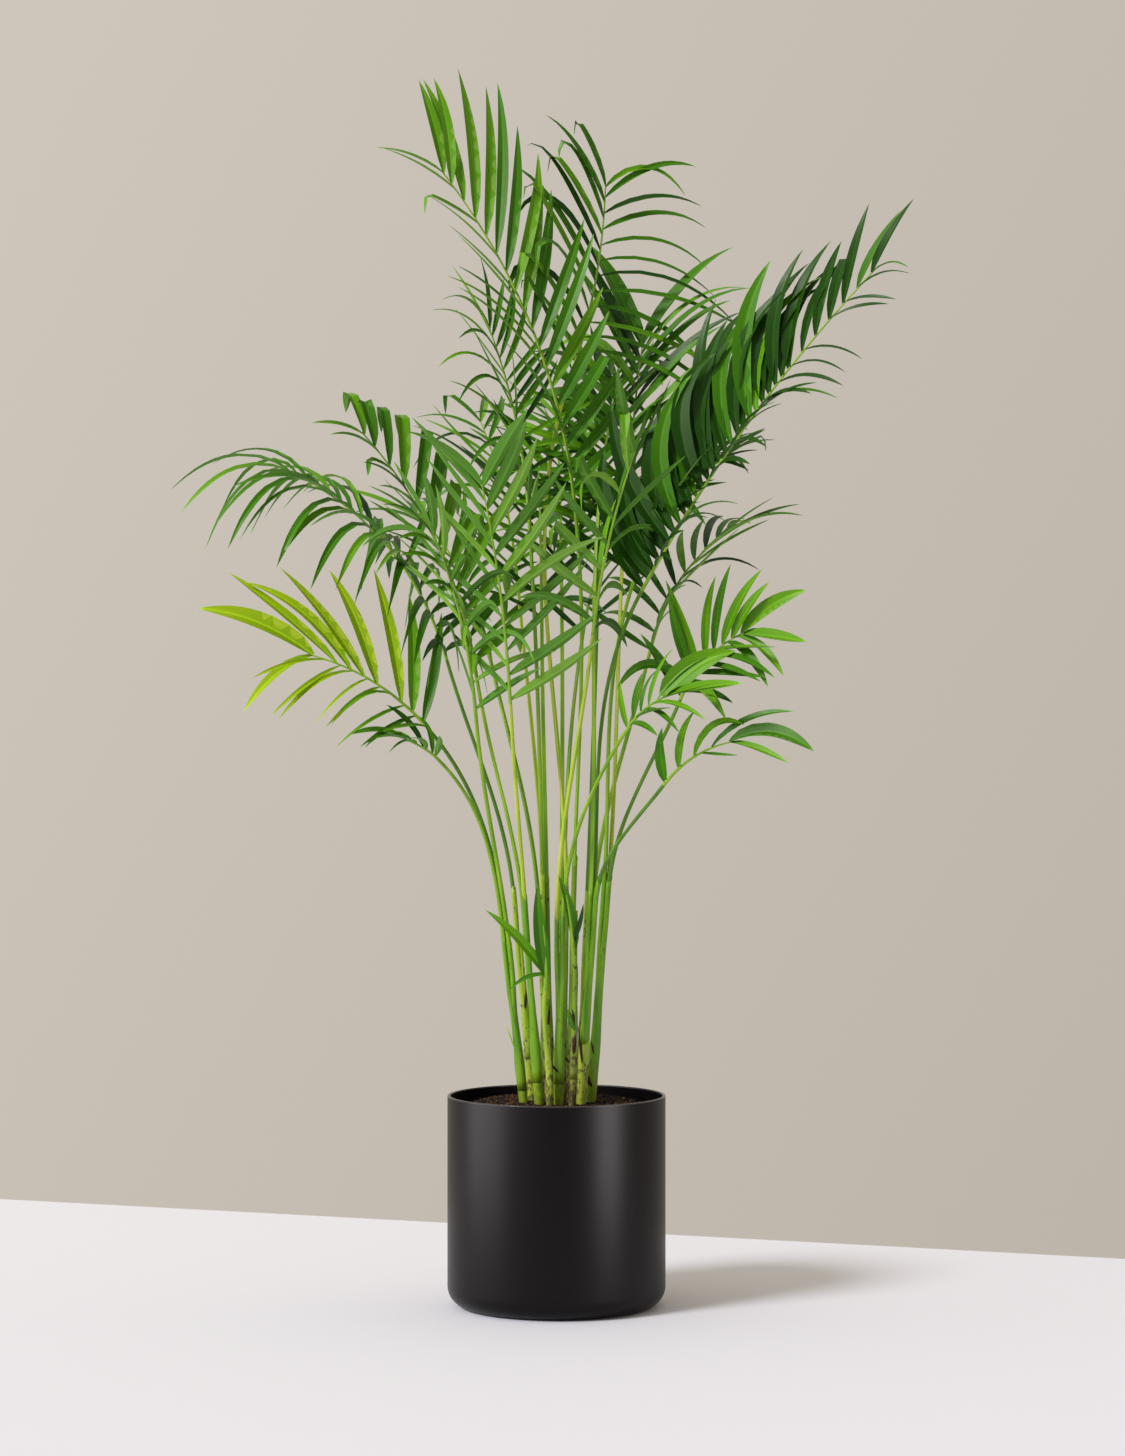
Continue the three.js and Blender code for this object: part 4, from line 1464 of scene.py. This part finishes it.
class LeafletPattern(Pattern):
    """A slim blade with a keel, pointed at its tip, that leaflets and bracts are bent from."""

    outline = (
        (0.0, 0.20), (0.05, 0.44), (0.14, 0.78), (0.28, 0.97), (0.43, 1.0), (0.52, 0.95),
        (0.6, 0.88), (0.68, 0.78), (0.76, 0.65), (0.86, 0.42), (0.95, 0.18), (1.0, 0.01),
    )
    keel = 0.45

    def __init__(self) -> None:
        """Model the blade upright: 1 long, 1 wide, its keel 1 behind it and its front to +Y."""
        near, breadth = self.outline[0]
        square = {"vertices": 4, "radius": 0.5, "fill_type": "NGON"}
        with Bench("leaflet", bpy.ops.mesh.primitive_circle_add, **square) as bench:
            bench.pick("VERT", lambda point: point.y > 0.4)
            bpy.ops.transform.translate(value=(0, -0.5, 0))
            bench.pick("VERT", lambda point: point.y < -0.4)
            bpy.ops.transform.translate(value=(0, -0.5, 0))
            bench.pick_all("FACE")
            bpy.ops.transform.resize(value=(breadth, 1, 1), center_override=(0, 0, 0))
            for share, wider in self.outline[1:]:
                bench.extrude((0, 0, share - near), (wider / breadth, 1, 1))
                near, breadth = share, wider
            bpy.ops.mesh.merge(type="CENTER")
            bench.turn_outwards()
        super().__init__(bench.piece)

    def lay_along(
        self,
        sketch: MeshSketch,
        sections: dict[float, Section],
        width: float,
        fold: Pair,
        finish: int,
        mirrored: bool = False,
    ) -> None:
        """Add a bent blade to a joined mesh.

        Args:
            sketch: The mesh.
            sections: The section at each share of the blade's length.
            width: Its width.
            fold: Degrees by which each half is turned towards the front, at the root and the tip.
            finish: Number of its pair of finishes, the front's own one and the next one behind.
            mirrored: True where the sections turn the shape inside out.
        """
        def bend(corner: Vector) -> Vector:
            """Return the new place of a corner."""
            share = round(corner.z, 4)
            section = sections[share]
            turn = math.radians(lerp(*fold, share))
            reach = corner.x * width
            rise = abs(reach) * math.sin(turn) + corner.y * self.keel
            return section.centre + section.across * (reach * math.cos(turn)) + section.above * rise

        finishes = [finish * 2 if front else finish * 2 + 1 for front in self.front]
        self.lay(sketch, bend, finishes, mirrored)


@dataclass(frozen=True)
class Blade:
    """Size and habit of one leaflet on its way from the rib."""

    hand: int
    length: float
    width: float
    angle: float
    lift: float
    droop: float
    sweep: float
    bend: float
    bend_at: float
    twist: float
    finish: int
    root_sweep: float = 9.0
    face_up: float = 0.7
    fold: Pair = (34.0, 12.0)
    bend_length: float = 0.09
    folded_length: float = 0.5
    longest_step: float = 0.02
    smallest_step: float = 1e-6

    def lay(self, sketch: MeshSketch, pattern: LeafletPattern, root: Section) -> None:
        """Add the leaflet to a joined mesh.

        Args:
            sketch: The mesh.
            pattern: The blade that it is bent from.
            root: The place on the rib that it grows from.
        """
        lift = math.radians(self.lift)
        sideways = root.across * (self.hand * math.cos(lift)) + root.above * math.sin(lift)
        face = root.forward.cross(sideways) * self.hand + UP * self.face_up
        sections: dict[float, Section] = {}
        centre = root.centre.copy()
        across = root.across
        reached = 0.0
        for share in pattern.shares:
            while reached < share - self.smallest_step:
                step = min(self.longest_step, share - reached)
                way = self.direction(root.forward, sideways, reached + step / 2)
                folded = self.bend > 0 and reached > self.bend_at + self.bend_length
                centre += way * (self.length * step * (self.folded_length if folded else 1.0))
                reached += step
            forward = self.direction(root.forward, sideways, share)
            if self.bend > 0 and share > self.bend_at:
                across = (across - forward * across.dot(forward)).normalized()
            else:
                across = (forward.cross(face) * self.hand).normalized()
                across.rotate(Quaternion(forward, math.radians(self.twist) * share))
            above = across.cross(forward) * self.hand
            sections[share] = Section(centre.copy(), across, above, forward)
        pattern.lay_along(sketch, sections, self.width, self.fold, self.finish, self.hand > 0)

    def direction(self, forward: Vector, sideways: Vector, share: float) -> Vector:
        """Return where the leaflet points at a share of its length.

        Args:
            forward: Direction of the rib.
            sideways: Direction square to the rib, in the plane of the frond.
            share: Share of the leaflet's length.

        Returns:
            The direction.
        """
        angle = math.radians(self.angle + lerp(self.root_sweep, -self.sweep, share))
        way = forward * math.cos(angle) + sideways * math.sin(angle)
        way = (way - UP * (2 * self.droop * share)).normalized()
        if self.bend > 0:
            bent = self.bend * smoothstep(share, self.bend_at, self.bend_at + self.bend_length)
            way = way.lerp(-UP, bent).normalized()
        return way


@dataclass
class Limb:
    """The line that a frond follows: an upright stalk that bends into an arching rib."""

    plan: FrondPlan
    stalk_radius: float = 3.0
    neck_radius: float = 2.4
    tip_radius: float = 0.9
    stalk_handle: float = 0.36
    seat_offset: float = 3.9
    crease: float = 40.0

    def __post_init__(self) -> None:
        """Lay out the line."""
        plan = self.plan
        cane = CANES[plan.cane]
        self.outwards = level_way(plan.heading)
        self.side = UP.cross(self.outwards)
        self.top = cane.centre(cane.length)
        self.foot = self.top + level_way(plan.seat) * self.seat_offset + UP * SEAT_GAP
        neck = self.place(plan.neck)
        tip = self.place(plan.tip)
        bow = (tip - neck).cross(self.side).normalized()
        # A curve passes its middle handle at half the handle's distance from the chord.
        self.rib = Course([neck, (neck + tip) / 2 + bow * (2 * plan.arch), tip])
        handle = self.stalk_handle * (neck - self.foot).length
        leave = Vector((*cane.lean, 1.0)).normalized()
        arrive = self.rib.tangent(0.0)
        self.stalk = Course([self.foot, self.foot + leave * handle, neck - arrive * handle, neck])

    def place(self, spot: Pair) -> Vector:
        """Return the point at a distance outwards from the cane and a height above the floor."""
        level = Vector((self.top.x, self.top.y, spot[1]))
        return level + self.outwards * spot[0]

    def section(self, course: Course, share: float, turn: float) -> Section:
        """Return a place on the stalk or on the rib.

        Args:
            course: The stalk or the rib.
            share: Share of its length.
            turn: Turn of the blade round the limb, in radians.

        Returns:
            The place with its directions.
        """
        forward = course.tangent(share)
        side = (self.side - forward * self.side.dot(forward)).normalized()
        side.rotate(Quaternion(forward, turn))
        return Section(course.point(share), side, forward.cross(side), forward)

    def stalk_section(self, share: float) -> Section:
        """Return a place on the stalk, where the blade's turn builds up."""
        return self.section(self.stalk, share, math.radians(self.plan.roll) * share * share)

    def rib_section(self, share: float) -> Section:
        """Return a place on the rib."""
        return self.section(self.rib, share, math.radians(self.plan.roll))

    def build(self, tube: TubePattern, materials: Sequence[Material]) -> None:
        """Make the stalk and the rib: round below, with a shallow groove above.

        Args:
            tube: The tube that both are bent from.
            materials: Materials of the stalk and of the rib.
        """
        sketch = MeshSketch()
        tube.lay_along(sketch, self.stalk_section, (self.stalk_radius, self.neck_radius), 0)
        tube.lay_along(sketch, self.rib_section, (self.neck_radius, self.tip_radius), 1)
        piece = sketch.build(f"{self.plan.name}_limb", materials, self.crease)
        settle(piece, "frond", self.plan.name)


@dataclass
class Frond:
    """One frond: its limb and its leaflets, in the reach of the coarse model's.

    Each size whose name ends in jitter is the most that a random draw adds or takes away. On
    angle, lift, droop and twist, how unruly the frond and the side are multiplies it.
    """

    plan: FrondPlan
    seed: int
    root_length: float = 9.0
    angle_at_tip: float = 22.0
    angle_ease: float = 1.3
    lift_at_neck: float = 30.0
    lift_at_tip: float = 16.0
    straight_over: float = 0.2
    stagger: float = 0.35
    bend: Pair = (0.75, 0.97)
    angle_jitter: float = 5.0
    lift_jitter: float = 10.0
    length_jitter: float = 0.09
    droop_jitter: float = 0.4
    width_jitter: float = 0.14
    twist_jitter: float = 22.0
    sweep_jitter: float = 0.4
    bend_at_jitter: float = 0.12
    single_fold: Pair = (20.0, 20.0)
    single_front: Triple = (0.25, -1.0, 0.35)
    crease: float = 25.0

    def __post_init__(self) -> None:
        """Lay out the frond's line and start its random draws."""
        self.limb = Limb(self.plan)
        self.draw = jitter_source(self.seed)

    def chance(self, share: float) -> bool:
        """Return True in a given share of the calls."""
        return (self.draw() + 1) / 2 < share

    def habit(self, hand: int) -> SideHabit:
        """Return the habit of the leaflets on one side of the rib."""
        return self.plan.look.left if hand > 0 else self.plan.look.right

    def shade(self, along: float) -> int:
        """Draw the number of a leaflet's colour in the frond's palette.

        Args:
            along: Share of the rib's length.

        Returns:
            The number, from 0.
        """
        look = self.plan.look
        drawn = lerp((self.draw() + 1) / 2, 1 - along, look.graded)
        for number, (_, weight) in enumerate(look.palette.value):
            if drawn < weight:
                return number
            drawn -= weight
        return number

    def fullness(self, along: float, side: SideHabit) -> float:
        """Return the length of a leaflet against the longest one on its side."""
        if along < side.longest_at:
            return lerp(side.at_neck, 1.0, along / side.longest_at)
        return lerp(1.0, self.plan.end[0], smoothstep(along, side.longest_at, 1.0))

    def blade(self, along: float, hand: int, last: bool) -> Blade:
        """Return the leaflet at a place along the rib.

        Args:
            along: Share of the rib's length.
            hand: 1 or -1, the side of the rib.
            last: True for the pair at the tip.

        Returns:
            The leaflet.
        """
        plan = self.plan
        look = plan.look
        side = self.habit(hand)
        draw = self.draw
        wild = look.unruly * side.unruly
        bent = self.chance(look.bent + side.bent)
        broad = plan.end[1] if last else 1 + self.width_jitter * draw()
        if along > look.open_from:
            broad *= look.slim
        lift = lerp(self.lift_at_neck, self.lift_at_tip, along)
        ease = along ** self.angle_ease
        angle = lerp(plan.angle + side.angle, self.angle_at_tip + side.tip_angle, ease)
        limp = look.limp * max(draw(), 0.0) ** 2
        straight_to = look.straight_from + self.straight_over
        swept = 1 - smoothstep(along, look.straight_from, straight_to)
        length = plan.leaf * side.length * self.fullness(along, side)
        return Blade(
            hand=hand,
            length=length * (1 + self.length_jitter * draw()),
            width=plan.width * look.breadth * side.breadth * broad,
            angle=angle + self.angle_jitter * wild * draw(),
            lift=lift + self.lift_jitter * wild * draw(),
            droop=plan.droop * (1 + self.droop_jitter * wild * draw()) + side.droop + limp,
            sweep=look.sweep * side.sweep * swept * (1 + self.sweep_jitter * draw()),
            bend=lerp(*self.bend, (draw() + 1) / 2) if bent else 0.0,
            bend_at=look.bend_at * (1 + self.bend_at_jitter * draw()),
            twist=self.twist_jitter * wild * draw(),
            finish=self.shade(along),
        )

    def build(self, wardrobe: Wardrobe) -> None:
        """Make the limb and the joined leaflets.

        Args:
            wardrobe: The materials and the patterns of the plant.
        """
        plan = self.plan
        look = plan.look
        self.limb.build(wardrobe.tube, [wardrobe.stalks[look.stalk], wardrobe.rib])
        sketch = MeshSketch()
        pairs = round(plan.pairs * look.density)
        margin = self.root_length / 2 / self.limb.rib.length
        for pair in range(pairs):
            last = pair == pairs - 1
            if pair > look.open_from * pairs and (pairs - pair) % 2 == 0:
                continue
            for hand in (1, -1):
                if not self.chance(self.habit(hand).kept) and not last:
                    continue
                step = pair if hand > 0 or last else pair + self.stagger
                along = lerp(margin, 1 - margin, step / (pairs - 1))
                root = self.limb.rib_section(along)
                self.blade(along, hand, last).lay(sketch, wardrobe.leaflet, root)
        tones = [tone for tone, _ in look.palette.value]
        for leaf in SINGLE_LEAVES:
            if leaf.frond == plan.name:
                self.lay_single(sketch, wardrobe.leaflet, leaf, tones.index(leaf.tone))
        leaves = sketch.build(f"{plan.name}_leaflets", wardrobe.leaf_sides(tones), self.crease)
        settle(leaves, "frond", plan.name)

    def lay_single(
        self, sketch: MeshSketch, pattern: LeafletPattern, leaf: SingleLeaf, finish: int
    ) -> None:
        """Add a leaf that is planned by itself.

        Args:
            sketch: The joined mesh of the leaflets.
            pattern: The blade that it is bent from.
            leaf: The leaf.
            finish: Number of its pair of finishes.
        """
        foot = Vector(leaf.foot)
        chord = Vector(leaf.tip) - foot
        middle = foot + chord / 2 + UP.cross(chord).cross(chord).normalized() * (-2 * leaf.bow)
        course = Course([foot, middle, Vector(leaf.tip)])
        front = Vector(self.single_front)
        sections = {}
        for share in pattern.shares:
            forward = course.tangent(share)
            across = front.cross(forward).normalized()
            sections[share] = Section(course.point(share), across, forward.cross(across), forward)
        pattern.lay_along(sketch, sections, leaf.width, self.single_fold, finish)


class Wardrobe:
    """The materials and the patterns of the plant, each made once."""

    def __init__(self, effects: Effects) -> None:
        """Make the materials and the patterns.

        Args:
            effects: The shared shader groups.
        """
        self.leaves, self.stalks, self.sheaths = (
            {
                tone: finish.build(f"{kind}{tone.value}", effects)
                for tone, finish in finishes.items()
            }
            for kind, finishes in (
                ("", LEAF_FINISHES), ("stalk_", STALK_FINISHES), ("sheath_", SHEATH_FINISHES),
            )
        )
        self.rib = RIB_FINISH.build("rib", effects)
        self.tube = TubePattern(sides=8, rings=24, groove=0.62)
        self.leaflet = LeafletPattern()

    def leaf_sides(self, tones: Sequence[Tone]) -> list[Material]:
        """Return the materials of the upper side and the underside in each leaf colour."""
        return [side for tone in tones for side in self.leaves[tone]]


@dataclass
class Cane:
    """One cane: a core with the overlapping sheaths of its fronds round it.

    core_scale gives the core's radius against the planned one at shares of the cane's length. The
    sheaths start between the two shares in starts. A sheath narrows, and leaves the cane for its
    stalk, between the shares of its own length in narrows and in leaves_cane.
    """

    index: int
    sides: int = 20
    core_rings: int = 16
    sleeve_rings: int = 16
    core_scale: tuple[Pair, ...] = (
        (0.0, 0.96), (0.1, 1.04), (0.25, 1.02), (0.42, 0.8), (0.6, 0.52), (0.86, 0.3),
    )
    starts: Pair = (0.02, 0.66)
    start_offset: float = 0.3
    sleeve_bulge: float = 1.3
    bulge_over: float = 0.25
    sleeve_sunk: float = 0.3
    sleeve_mouth: float = 3.1
    sleeve_wall: float = 0.35
    narrows: Pair = (0.1, 0.62)
    leaves_cane: Pair = (0.12, 0.6)
    mouth_height: float = 34.0
    mouth_jitter: float = 0.3
    mouth_slopes: Pair = (1.2, 2.6)
    mouth_turn: float = 0.6
    mouth_cut: float = 8.0
    crease: float = 50.0
    bract_fold: Pair = (-35.0, -35.0)
    bract_crease: float = 25.0
    first_seed: int = 71

    def __post_init__(self) -> None:
        """Take the cane from the plan."""
        self.plan = CANES[self.index]
        self.name = f"cane_{self.index + 1:02d}"
        self.fronds = [frond for frond in FRONDS if frond.cane == self.index]
        self.draw = jitter_source(self.index + self.first_seed)

    def core_radius(self, rise: float) -> float:
        """Return the radius of the core at a height above its foot."""
        shares, scales = zip(*self.core_scale)
        return self.plan.radius * float(np.interp(rise / self.plan.length, shares, scales))

    def grow(self, name: str, rings: Sequence[tuple[Vector, float]], closed: bool) -> Bench:
        """Extrude a ring along a line, with a new radius at each step.

        Args:
            name: Name of the piece.
            rings: Middle and radius of each ring.
            closed: True for a closed tube, False for an open sleeve.

        Returns:
            The bench that holds the tube.
        """
        centre, radius = rings[0]
        bench = Bench(
            name, bpy.ops.mesh.primitive_circle_add,
            vertices=self.sides, radius=radius * MM, location=centre * MM,
            fill_type="NGON" if closed else "NOTHING",
        )
        with bench:
            bench.pick_all("EDGE")
            for (near, near_radius), (far, far_radius) in zip(rings, rings[1:]):
                ratio = far_radius / near_radius
                bench.extrude((far - near) * MM, (ratio, ratio, 1.0), far * MM)
            bench.turn_outwards()
        return bench

    def build(self, wardrobe: Wardrobe) -> None:
        """Make the core, the sheaths and the bracts.

        Args:
            wardrobe: The materials and the patterns of the plant.
        """
        rings = []
        top = self.plan.length * self.core_scale[-1][0]
        for step in range(self.core_rings + 1):
            rise = top * step / self.core_rings
            rings.append((self.plan.centre(rise), self.core_radius(rise)))
        bench = self.grow(f"{self.name}_core", rings, True)
        core = bench.finish([wardrobe.sheaths[self.plan.sheath]], self.crease)
        settle(core, "cane", self.name)
        for order, frond in enumerate(self.fronds):
            self.build_sleeve(frond, order, wardrobe)
        self.build_bracts(wardrobe)

    def build_sleeve(self, frond: FrondPlan, order: int, wardrobe: Wardrobe) -> None:
        """Make the sheath that a stalk grows from: flush with the cane below, a mouth above.

        Args:
            frond: The frond whose stalk it carries.
            order: Number of the sheath on this cane, the lowest first.
            wardrobe: The materials and the patterns of the plant.
        """
        plan = self.plan
        limb = Limb(frond)
        start = lerp(*self.starts, (order + self.start_offset) / len(self.fronds)) * plan.length
        above = self.mouth_height * (1 + self.mouth_jitter * self.draw())
        climb = plan.length - start + above
        rings = []
        for step in range(self.sleeve_rings + 1):
            share = step / self.sleeve_rings
            rise = start + climb * share
            axis = plan.centre(rise)
            if rise > plan.length:
                stalk = limb.stalk.point((rise - plan.length) / limb.stalk.length)
            else:
                stalk = limb.foot + axis - limb.top
            bulge = self.sleeve_bulge * smoothstep(share, 0.0, self.bulge_over) - self.sleeve_sunk
            wide = self.core_radius(min(rise, plan.length)) + bulge
            radius = lerp(wide, self.sleeve_mouth, smoothstep(share, *self.narrows))
            level = Vector((stalk.x, stalk.y, axis.z))
            rings.append((axis.lerp(level, smoothstep(share, *self.leaves_cane)), radius))
        bench = self.grow(f"{self.name}_sheath_{order + 1}", rings, False)
        self.cut_mouth(bench, rings[-1][0])
        tone = plan.sheath if order == 0 else UPPER_TONES[plan.sheath]
        piece = bench.finish([wardrobe.sheaths[tone]], self.crease)
        wall = piece.modifiers.new("wall", "SOLIDIFY")
        wall.thickness = self.sleeve_wall * MM
        wall.offset = -1.0
        apply_modifiers(piece)
        settle(piece, "cane", self.name)

    def cut_mouth(self, bench: Bench, mouth: Vector) -> None:
        """Cut the mouth of a sheath on a steep slope, open towards the front or the back.

        Args:
            bench: The bench that holds the sheath.
            mouth: Middle of the sheath's top.
        """
        facing = -1 if self.plan.foot[1] < 0 else 1
        away = Vector((self.mouth_turn * self.draw(), facing, 0.0)).normalized()
        slope = lerp(*self.mouth_slopes, (self.draw() + 1) / 2)
        normal = (UP + away * slope).normalized()
        through = (mouth - UP * self.mouth_cut) * MM
        with bench:
            bpy.ops.mesh.select_all(action="SELECT")
            bpy.ops.mesh.bisect(plane_co=through, plane_no=normal, clear_outer=True)

    def build_bracts(self, wardrobe: Wardrobe) -> None:
        """Make the small leaves and dry tips on the cane.

        Args:
            wardrobe: The materials and the patterns of the plant.
        """
        bracts = [bract for bract in BRACTS if bract.cane == self.index]
        if not bracts:
            return
        tones = list(dict.fromkeys(bract.tone for bract in bracts))
        pattern = wardrobe.leaflet
        sketch = MeshSketch()
        for bract in bracts:
            away = level_way(bract.compass)
            surface = self.core_radius(bract.rise) + self.sleeve_bulge
            foot = self.plan.centre(bract.rise) + away * surface
            axis = Vector((*self.plan.lean, 1.0)).normalized()
            axis.rotate(Quaternion(away, math.radians(-bract.slant)))
            axis.rotate(Quaternion(away.cross(axis), math.radians(-bract.lean)))
            across = away.cross(axis).normalized()
            above = axis.cross(across)
            sections = {
                share: Section(foot + axis * (bract.length * share), across, above, axis)
                for share in pattern.shares
            }
            finish = tones.index(bract.tone)
            pattern.lay_along(sketch, sections, bract.width, self.bract_fold, finish)
        leaves = sketch.build(f"{self.name}_bracts", wardrobe.leaf_sides(tones), self.bract_crease)
        settle(leaves, "cane", self.name)


def linked(name: str, piece: Object, kept_out: bool = False) -> Collection:
    """Make the collection that links a light to one piece.

    Args:
        name: Name of the collection.
        piece: The piece.
        kept_out: True where the light reaches everything but the piece.

    Returns:
        The collection.
    """
    group = bpy.data.collections.new(name)
    group.objects.link(piece)
    if kept_out:
        group.collection_objects[0].light_linking.link_state = "EXCLUDE"
    return group


def add_lamp(
    name: str, kind: str, strength: float, colour: Colour, way: Sequence[float]
) -> Object:
    """Add a lamp that shines in one direction.

    Args:
        name: Name of the lamp.
        kind: AREA or SUN.
        strength: Its strength, in watts for an area.
        colour: Colour of the light.
        way: Where it shines.

    Returns:
        The lamp, at the origin.
    """
    data = bpy.data.lights.new(name, kind)
    data.energy = strength
    data.color = colour
    lamp = bpy.data.objects.new(name, data)
    lamp.rotation_euler = Vector(way).to_track_quat("-Z", "Y").to_euler()
    bpy.context.scene.collection.objects.link(lamp)
    return lamp


@dataclass(frozen=True)
class SoftBox:
    """One soft light."""

    name: str
    place: Triple
    target: Triple
    size: Pair
    watts: float
    colour: Colour = (1.0, 0.92, 0.94)

    def build(self, receiver: Object) -> None:
        """Hang the light.

        Args:
            receiver: The only piece that it shines on.
        """
        way = Vector(self.target) - Vector(self.place)
        lamp = add_lamp(self.name, "AREA", self.watts, self.colour, way)
        lamp.location = self.place
        lamp.data.shape = "RECTANGLE"
        lamp.data.size, lamp.data.size_y = self.size
        lamp.light_linking.receiver_collection = linked(f"{self.name}_lit", receiver)


@dataclass(frozen=True)
class Window:
    """Low, soft daylight from the front left."""

    name: str
    strength: float
    colour: Colour
    softness: float
    way: Triple

    def build(self) -> Object:
        """Open the window and return its lamp."""
        lamp = add_lamp(self.name, "SUN", self.strength, self.colour, self.way)
        lamp.data.angle = math.radians(self.softness)
        return lamp


@dataclass(frozen=True)
class RoomGlow:
    """Even light of the room, by direction: dim in front, brighter on the left and above."""

    base: float = 0.16
    left: float = 0.50
    above: float = 0.26
    behind: float = 0.12

    def strength(self, sketch: NodeSketch) -> NodeSocket:
        """Add the nodes that give the strength in each direction.

        Args:
            sketch: The world's node tree.

        Returns:
            The strength's socket.
        """
        place = sketch.node("TexCoord").outputs["Generated"]
        parts = sketch.node("SeparateXYZ", {"Vector": place}).outputs
        total = self.base
        for axis, amount in (("X", -self.left), ("Y", self.behind), ("Z", self.above)):
            share = sketch.maths("MULTIPLY", parts[axis], amount, clamped=True)
            total = sketch.maths("ADD", share, total)
        return total


POT_PANELS = (
    SoftBox("strip_right", (2.05, -1.45, 0.75), (0.0, 0.0, 0.2), (1.1, 1.8), 78.0),
    SoftBox("panel_left", (-2.4, -0.5, 0.75), (0.0, 0.0, 0.2), (2.1, 1.8), 70.0),
)


@dataclass
class Studio:
    """Camera, floor, wall and light.

    The wall's dark colour has the share wall_start at the foot of its middle. The share changes by
    wall_across with each metre to the right and by wall_down with each metre up.
    """

    camera_place: Triple = (0.0077, -4.47, 0.741)
    lens: float = 86.07
    sensor: float = 36.0
    wall_middle: Pair = (-0.042, 0.6975)
    wall_turn: float = -20.3
    wall_size: float = 14.0
    wall_sunk: float = 0.001
    wall_light: Colour = linear(206, 198, 187)
    wall_dark: Colour = linear(189, 181, 170)
    wall_across: float = 0.364
    wall_down: float = -0.224
    wall_start: float = 0.698
    floor_size: float = 30.0
    floor_roughness: float = 0.8
    floor_shine: float = 0.2
    floor_colour: Colour = (0.978, 0.946, 0.94)
    glow_colour: Colour = (1.0, 0.99, 0.97)
    daylight: Window = Window("window", 2.4, (1.0, 0.97, 0.88), 15.0, (0.64, 0.49, -0.59))
    floor_daylight: Window = Window(
        "floor_window", 2.44, (0.853, 0.88, 1.0), 17.0, (0.66, 0.53, -0.56)
    )

    def build(self, pot: Object) -> None:
        """Set up the studio.

        The floor has daylight of its own, which only the pot shades, and the pot has soft panels.

        Args:
            pot: The pot.
        """
        bpy.context.scene.view_settings.view_transform = "Standard"
        self.build_camera()
        floor = self.build_floor()
        self.build_wall()
        self.build_room()
        lamp = self.daylight.build()
        lamp.light_linking.receiver_collection = linked("window_lit", floor, kept_out=True)
        lamp = self.floor_daylight.build()
        lamp.light_linking.receiver_collection = linked("floor_window_lit", floor)
        lamp.light_linking.blocker_collection = linked("floor_window_shaded", pot)
        for panel in POT_PANELS:
            panel.build(pot)

    def build_camera(self) -> None:
        """Set the camera level, where the photograph was taken from."""
        data = bpy.data.cameras.new("camera")
        data.lens = self.lens
        data.sensor_width = self.sensor
        camera = bpy.data.objects.new("camera", data)
        camera.location = self.camera_place
        camera.rotation_euler = (math.radians(90), 0.0, 0.0)
        bpy.context.scene.collection.objects.link(camera)
        bpy.context.scene.camera = camera

    @staticmethod
    def add_plane(name: str, material: Material, **sizes: object) -> Object:
        """Add a plane of the stage.

        Args:
            name: Name of the plane.
            material: Its material.
            **sizes: Its size, place and turn.

        Returns:
            The plane.
        """
        bpy.ops.mesh.primitive_plane_add(**sizes)
        plane = bpy.context.active_object
        plane.name = name
        plane.data.materials.append(material)
        return plane

    def build_floor(self) -> Object:
        """Lay the pale floor and return it."""
        sketch = MaterialSketch("studio_floor", self.floor_roughness, self.floor_shine)
        sketch.feed("Base Color", (*self.floor_colour, 1.0))
        return self.add_plane("studio_floor", sketch.material, size=self.floor_size)

    def build_wall(self) -> None:
        """Stand the wall, which shows from its front only and grows darker to the lower right."""
        sketch = MaterialSketch("studio_wall", 1.0)
        sketch.tree.nodes.remove(sketch.shader)
        place = sketch.node("TexCoord").outputs["Object"]
        factors = {0: place, 1: (self.wall_across, self.wall_down, 0.0)}
        slope = sketch.node("VectorMath", factors, operation="DOT_PRODUCT").outputs["Value"]
        start = self.wall_start + self.wall_down * self.wall_size / 2
        share = sketch.scale(slope, 1.0, start)
        # The wall glows instead of being lit: its colour is painted light, darker to the lower right
        # as painted shade.
        paint = sketch.blend(share, self.wall_light, self.wall_dark)
        facing = sketch.node("NewGeometry").outputs["Backfacing"]
        front = sketch.node("Emission", {"Color": paint}).outputs["Emission"]
        back = sketch.node("BsdfTransparent").outputs["BSDF"]
        sides = sketch.node("MixShader", {"Fac": facing, 1: front, 2: back}).outputs["Shader"]
        sketch.wire(sketch.tree.nodes["Material Output"].inputs["Surface"], sides)
        sketch.material.cycles.emission_sampling = "NONE"
        self.add_plane(
            "studio_wall", sketch.material, size=self.wall_size,
            location=(*self.wall_middle, self.wall_size / 2 - self.wall_sunk),
            rotation=(math.radians(90), 0.0, math.radians(self.wall_turn)),
        )

    def build_room(self) -> None:
        """Light the room, and show the wall's colour where nothing stands."""
        world = bpy.data.worlds.new("room")
        world.use_nodes = True
        sketch = NodeSketch(world.node_tree)
        glow = sketch.tree.nodes["Background"]
        sketch.wire(glow.inputs["Color"], (*self.glow_colour, 1.0))
        sketch.wire(glow.inputs["Strength"], RoomGlow().strength(sketch))
        lit = glow.outputs["Background"]
        shown = sketch.node("Background", {"Color": (*self.wall_light, 1.0)}).outputs["Background"]
        seen = sketch.node("LightPath").outputs["Is Camera Ray"]
        both = sketch.node("MixShader", {"Fac": seen, 1: lit, 2: shown}).outputs["Shader"]
        sketch.wire(sketch.tree.nodes["World Output"].inputs["Surface"], both)
        bpy.context.scene.world = world


def main() -> None:
    """Build the plant, its pot and the studio round it."""
    logging.basicConfig(level=logging.INFO, format="%(name)s: %(message)s")
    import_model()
    bpy.ops.object.select_all(action="DESELECT")
    effects = Effects()
    wardrobe = Wardrobe(effects)
    Studio().build(Pot().build(effects))
    PottingMix().build(effects)
    for index in range(len(CANES)):
        Cane(index).build(wardrobe)
    for number, plan in enumerate(FRONDS, start=1):
        Frond(plan, number).build(wardrobe)


if __name__ == "__main__":
    main()
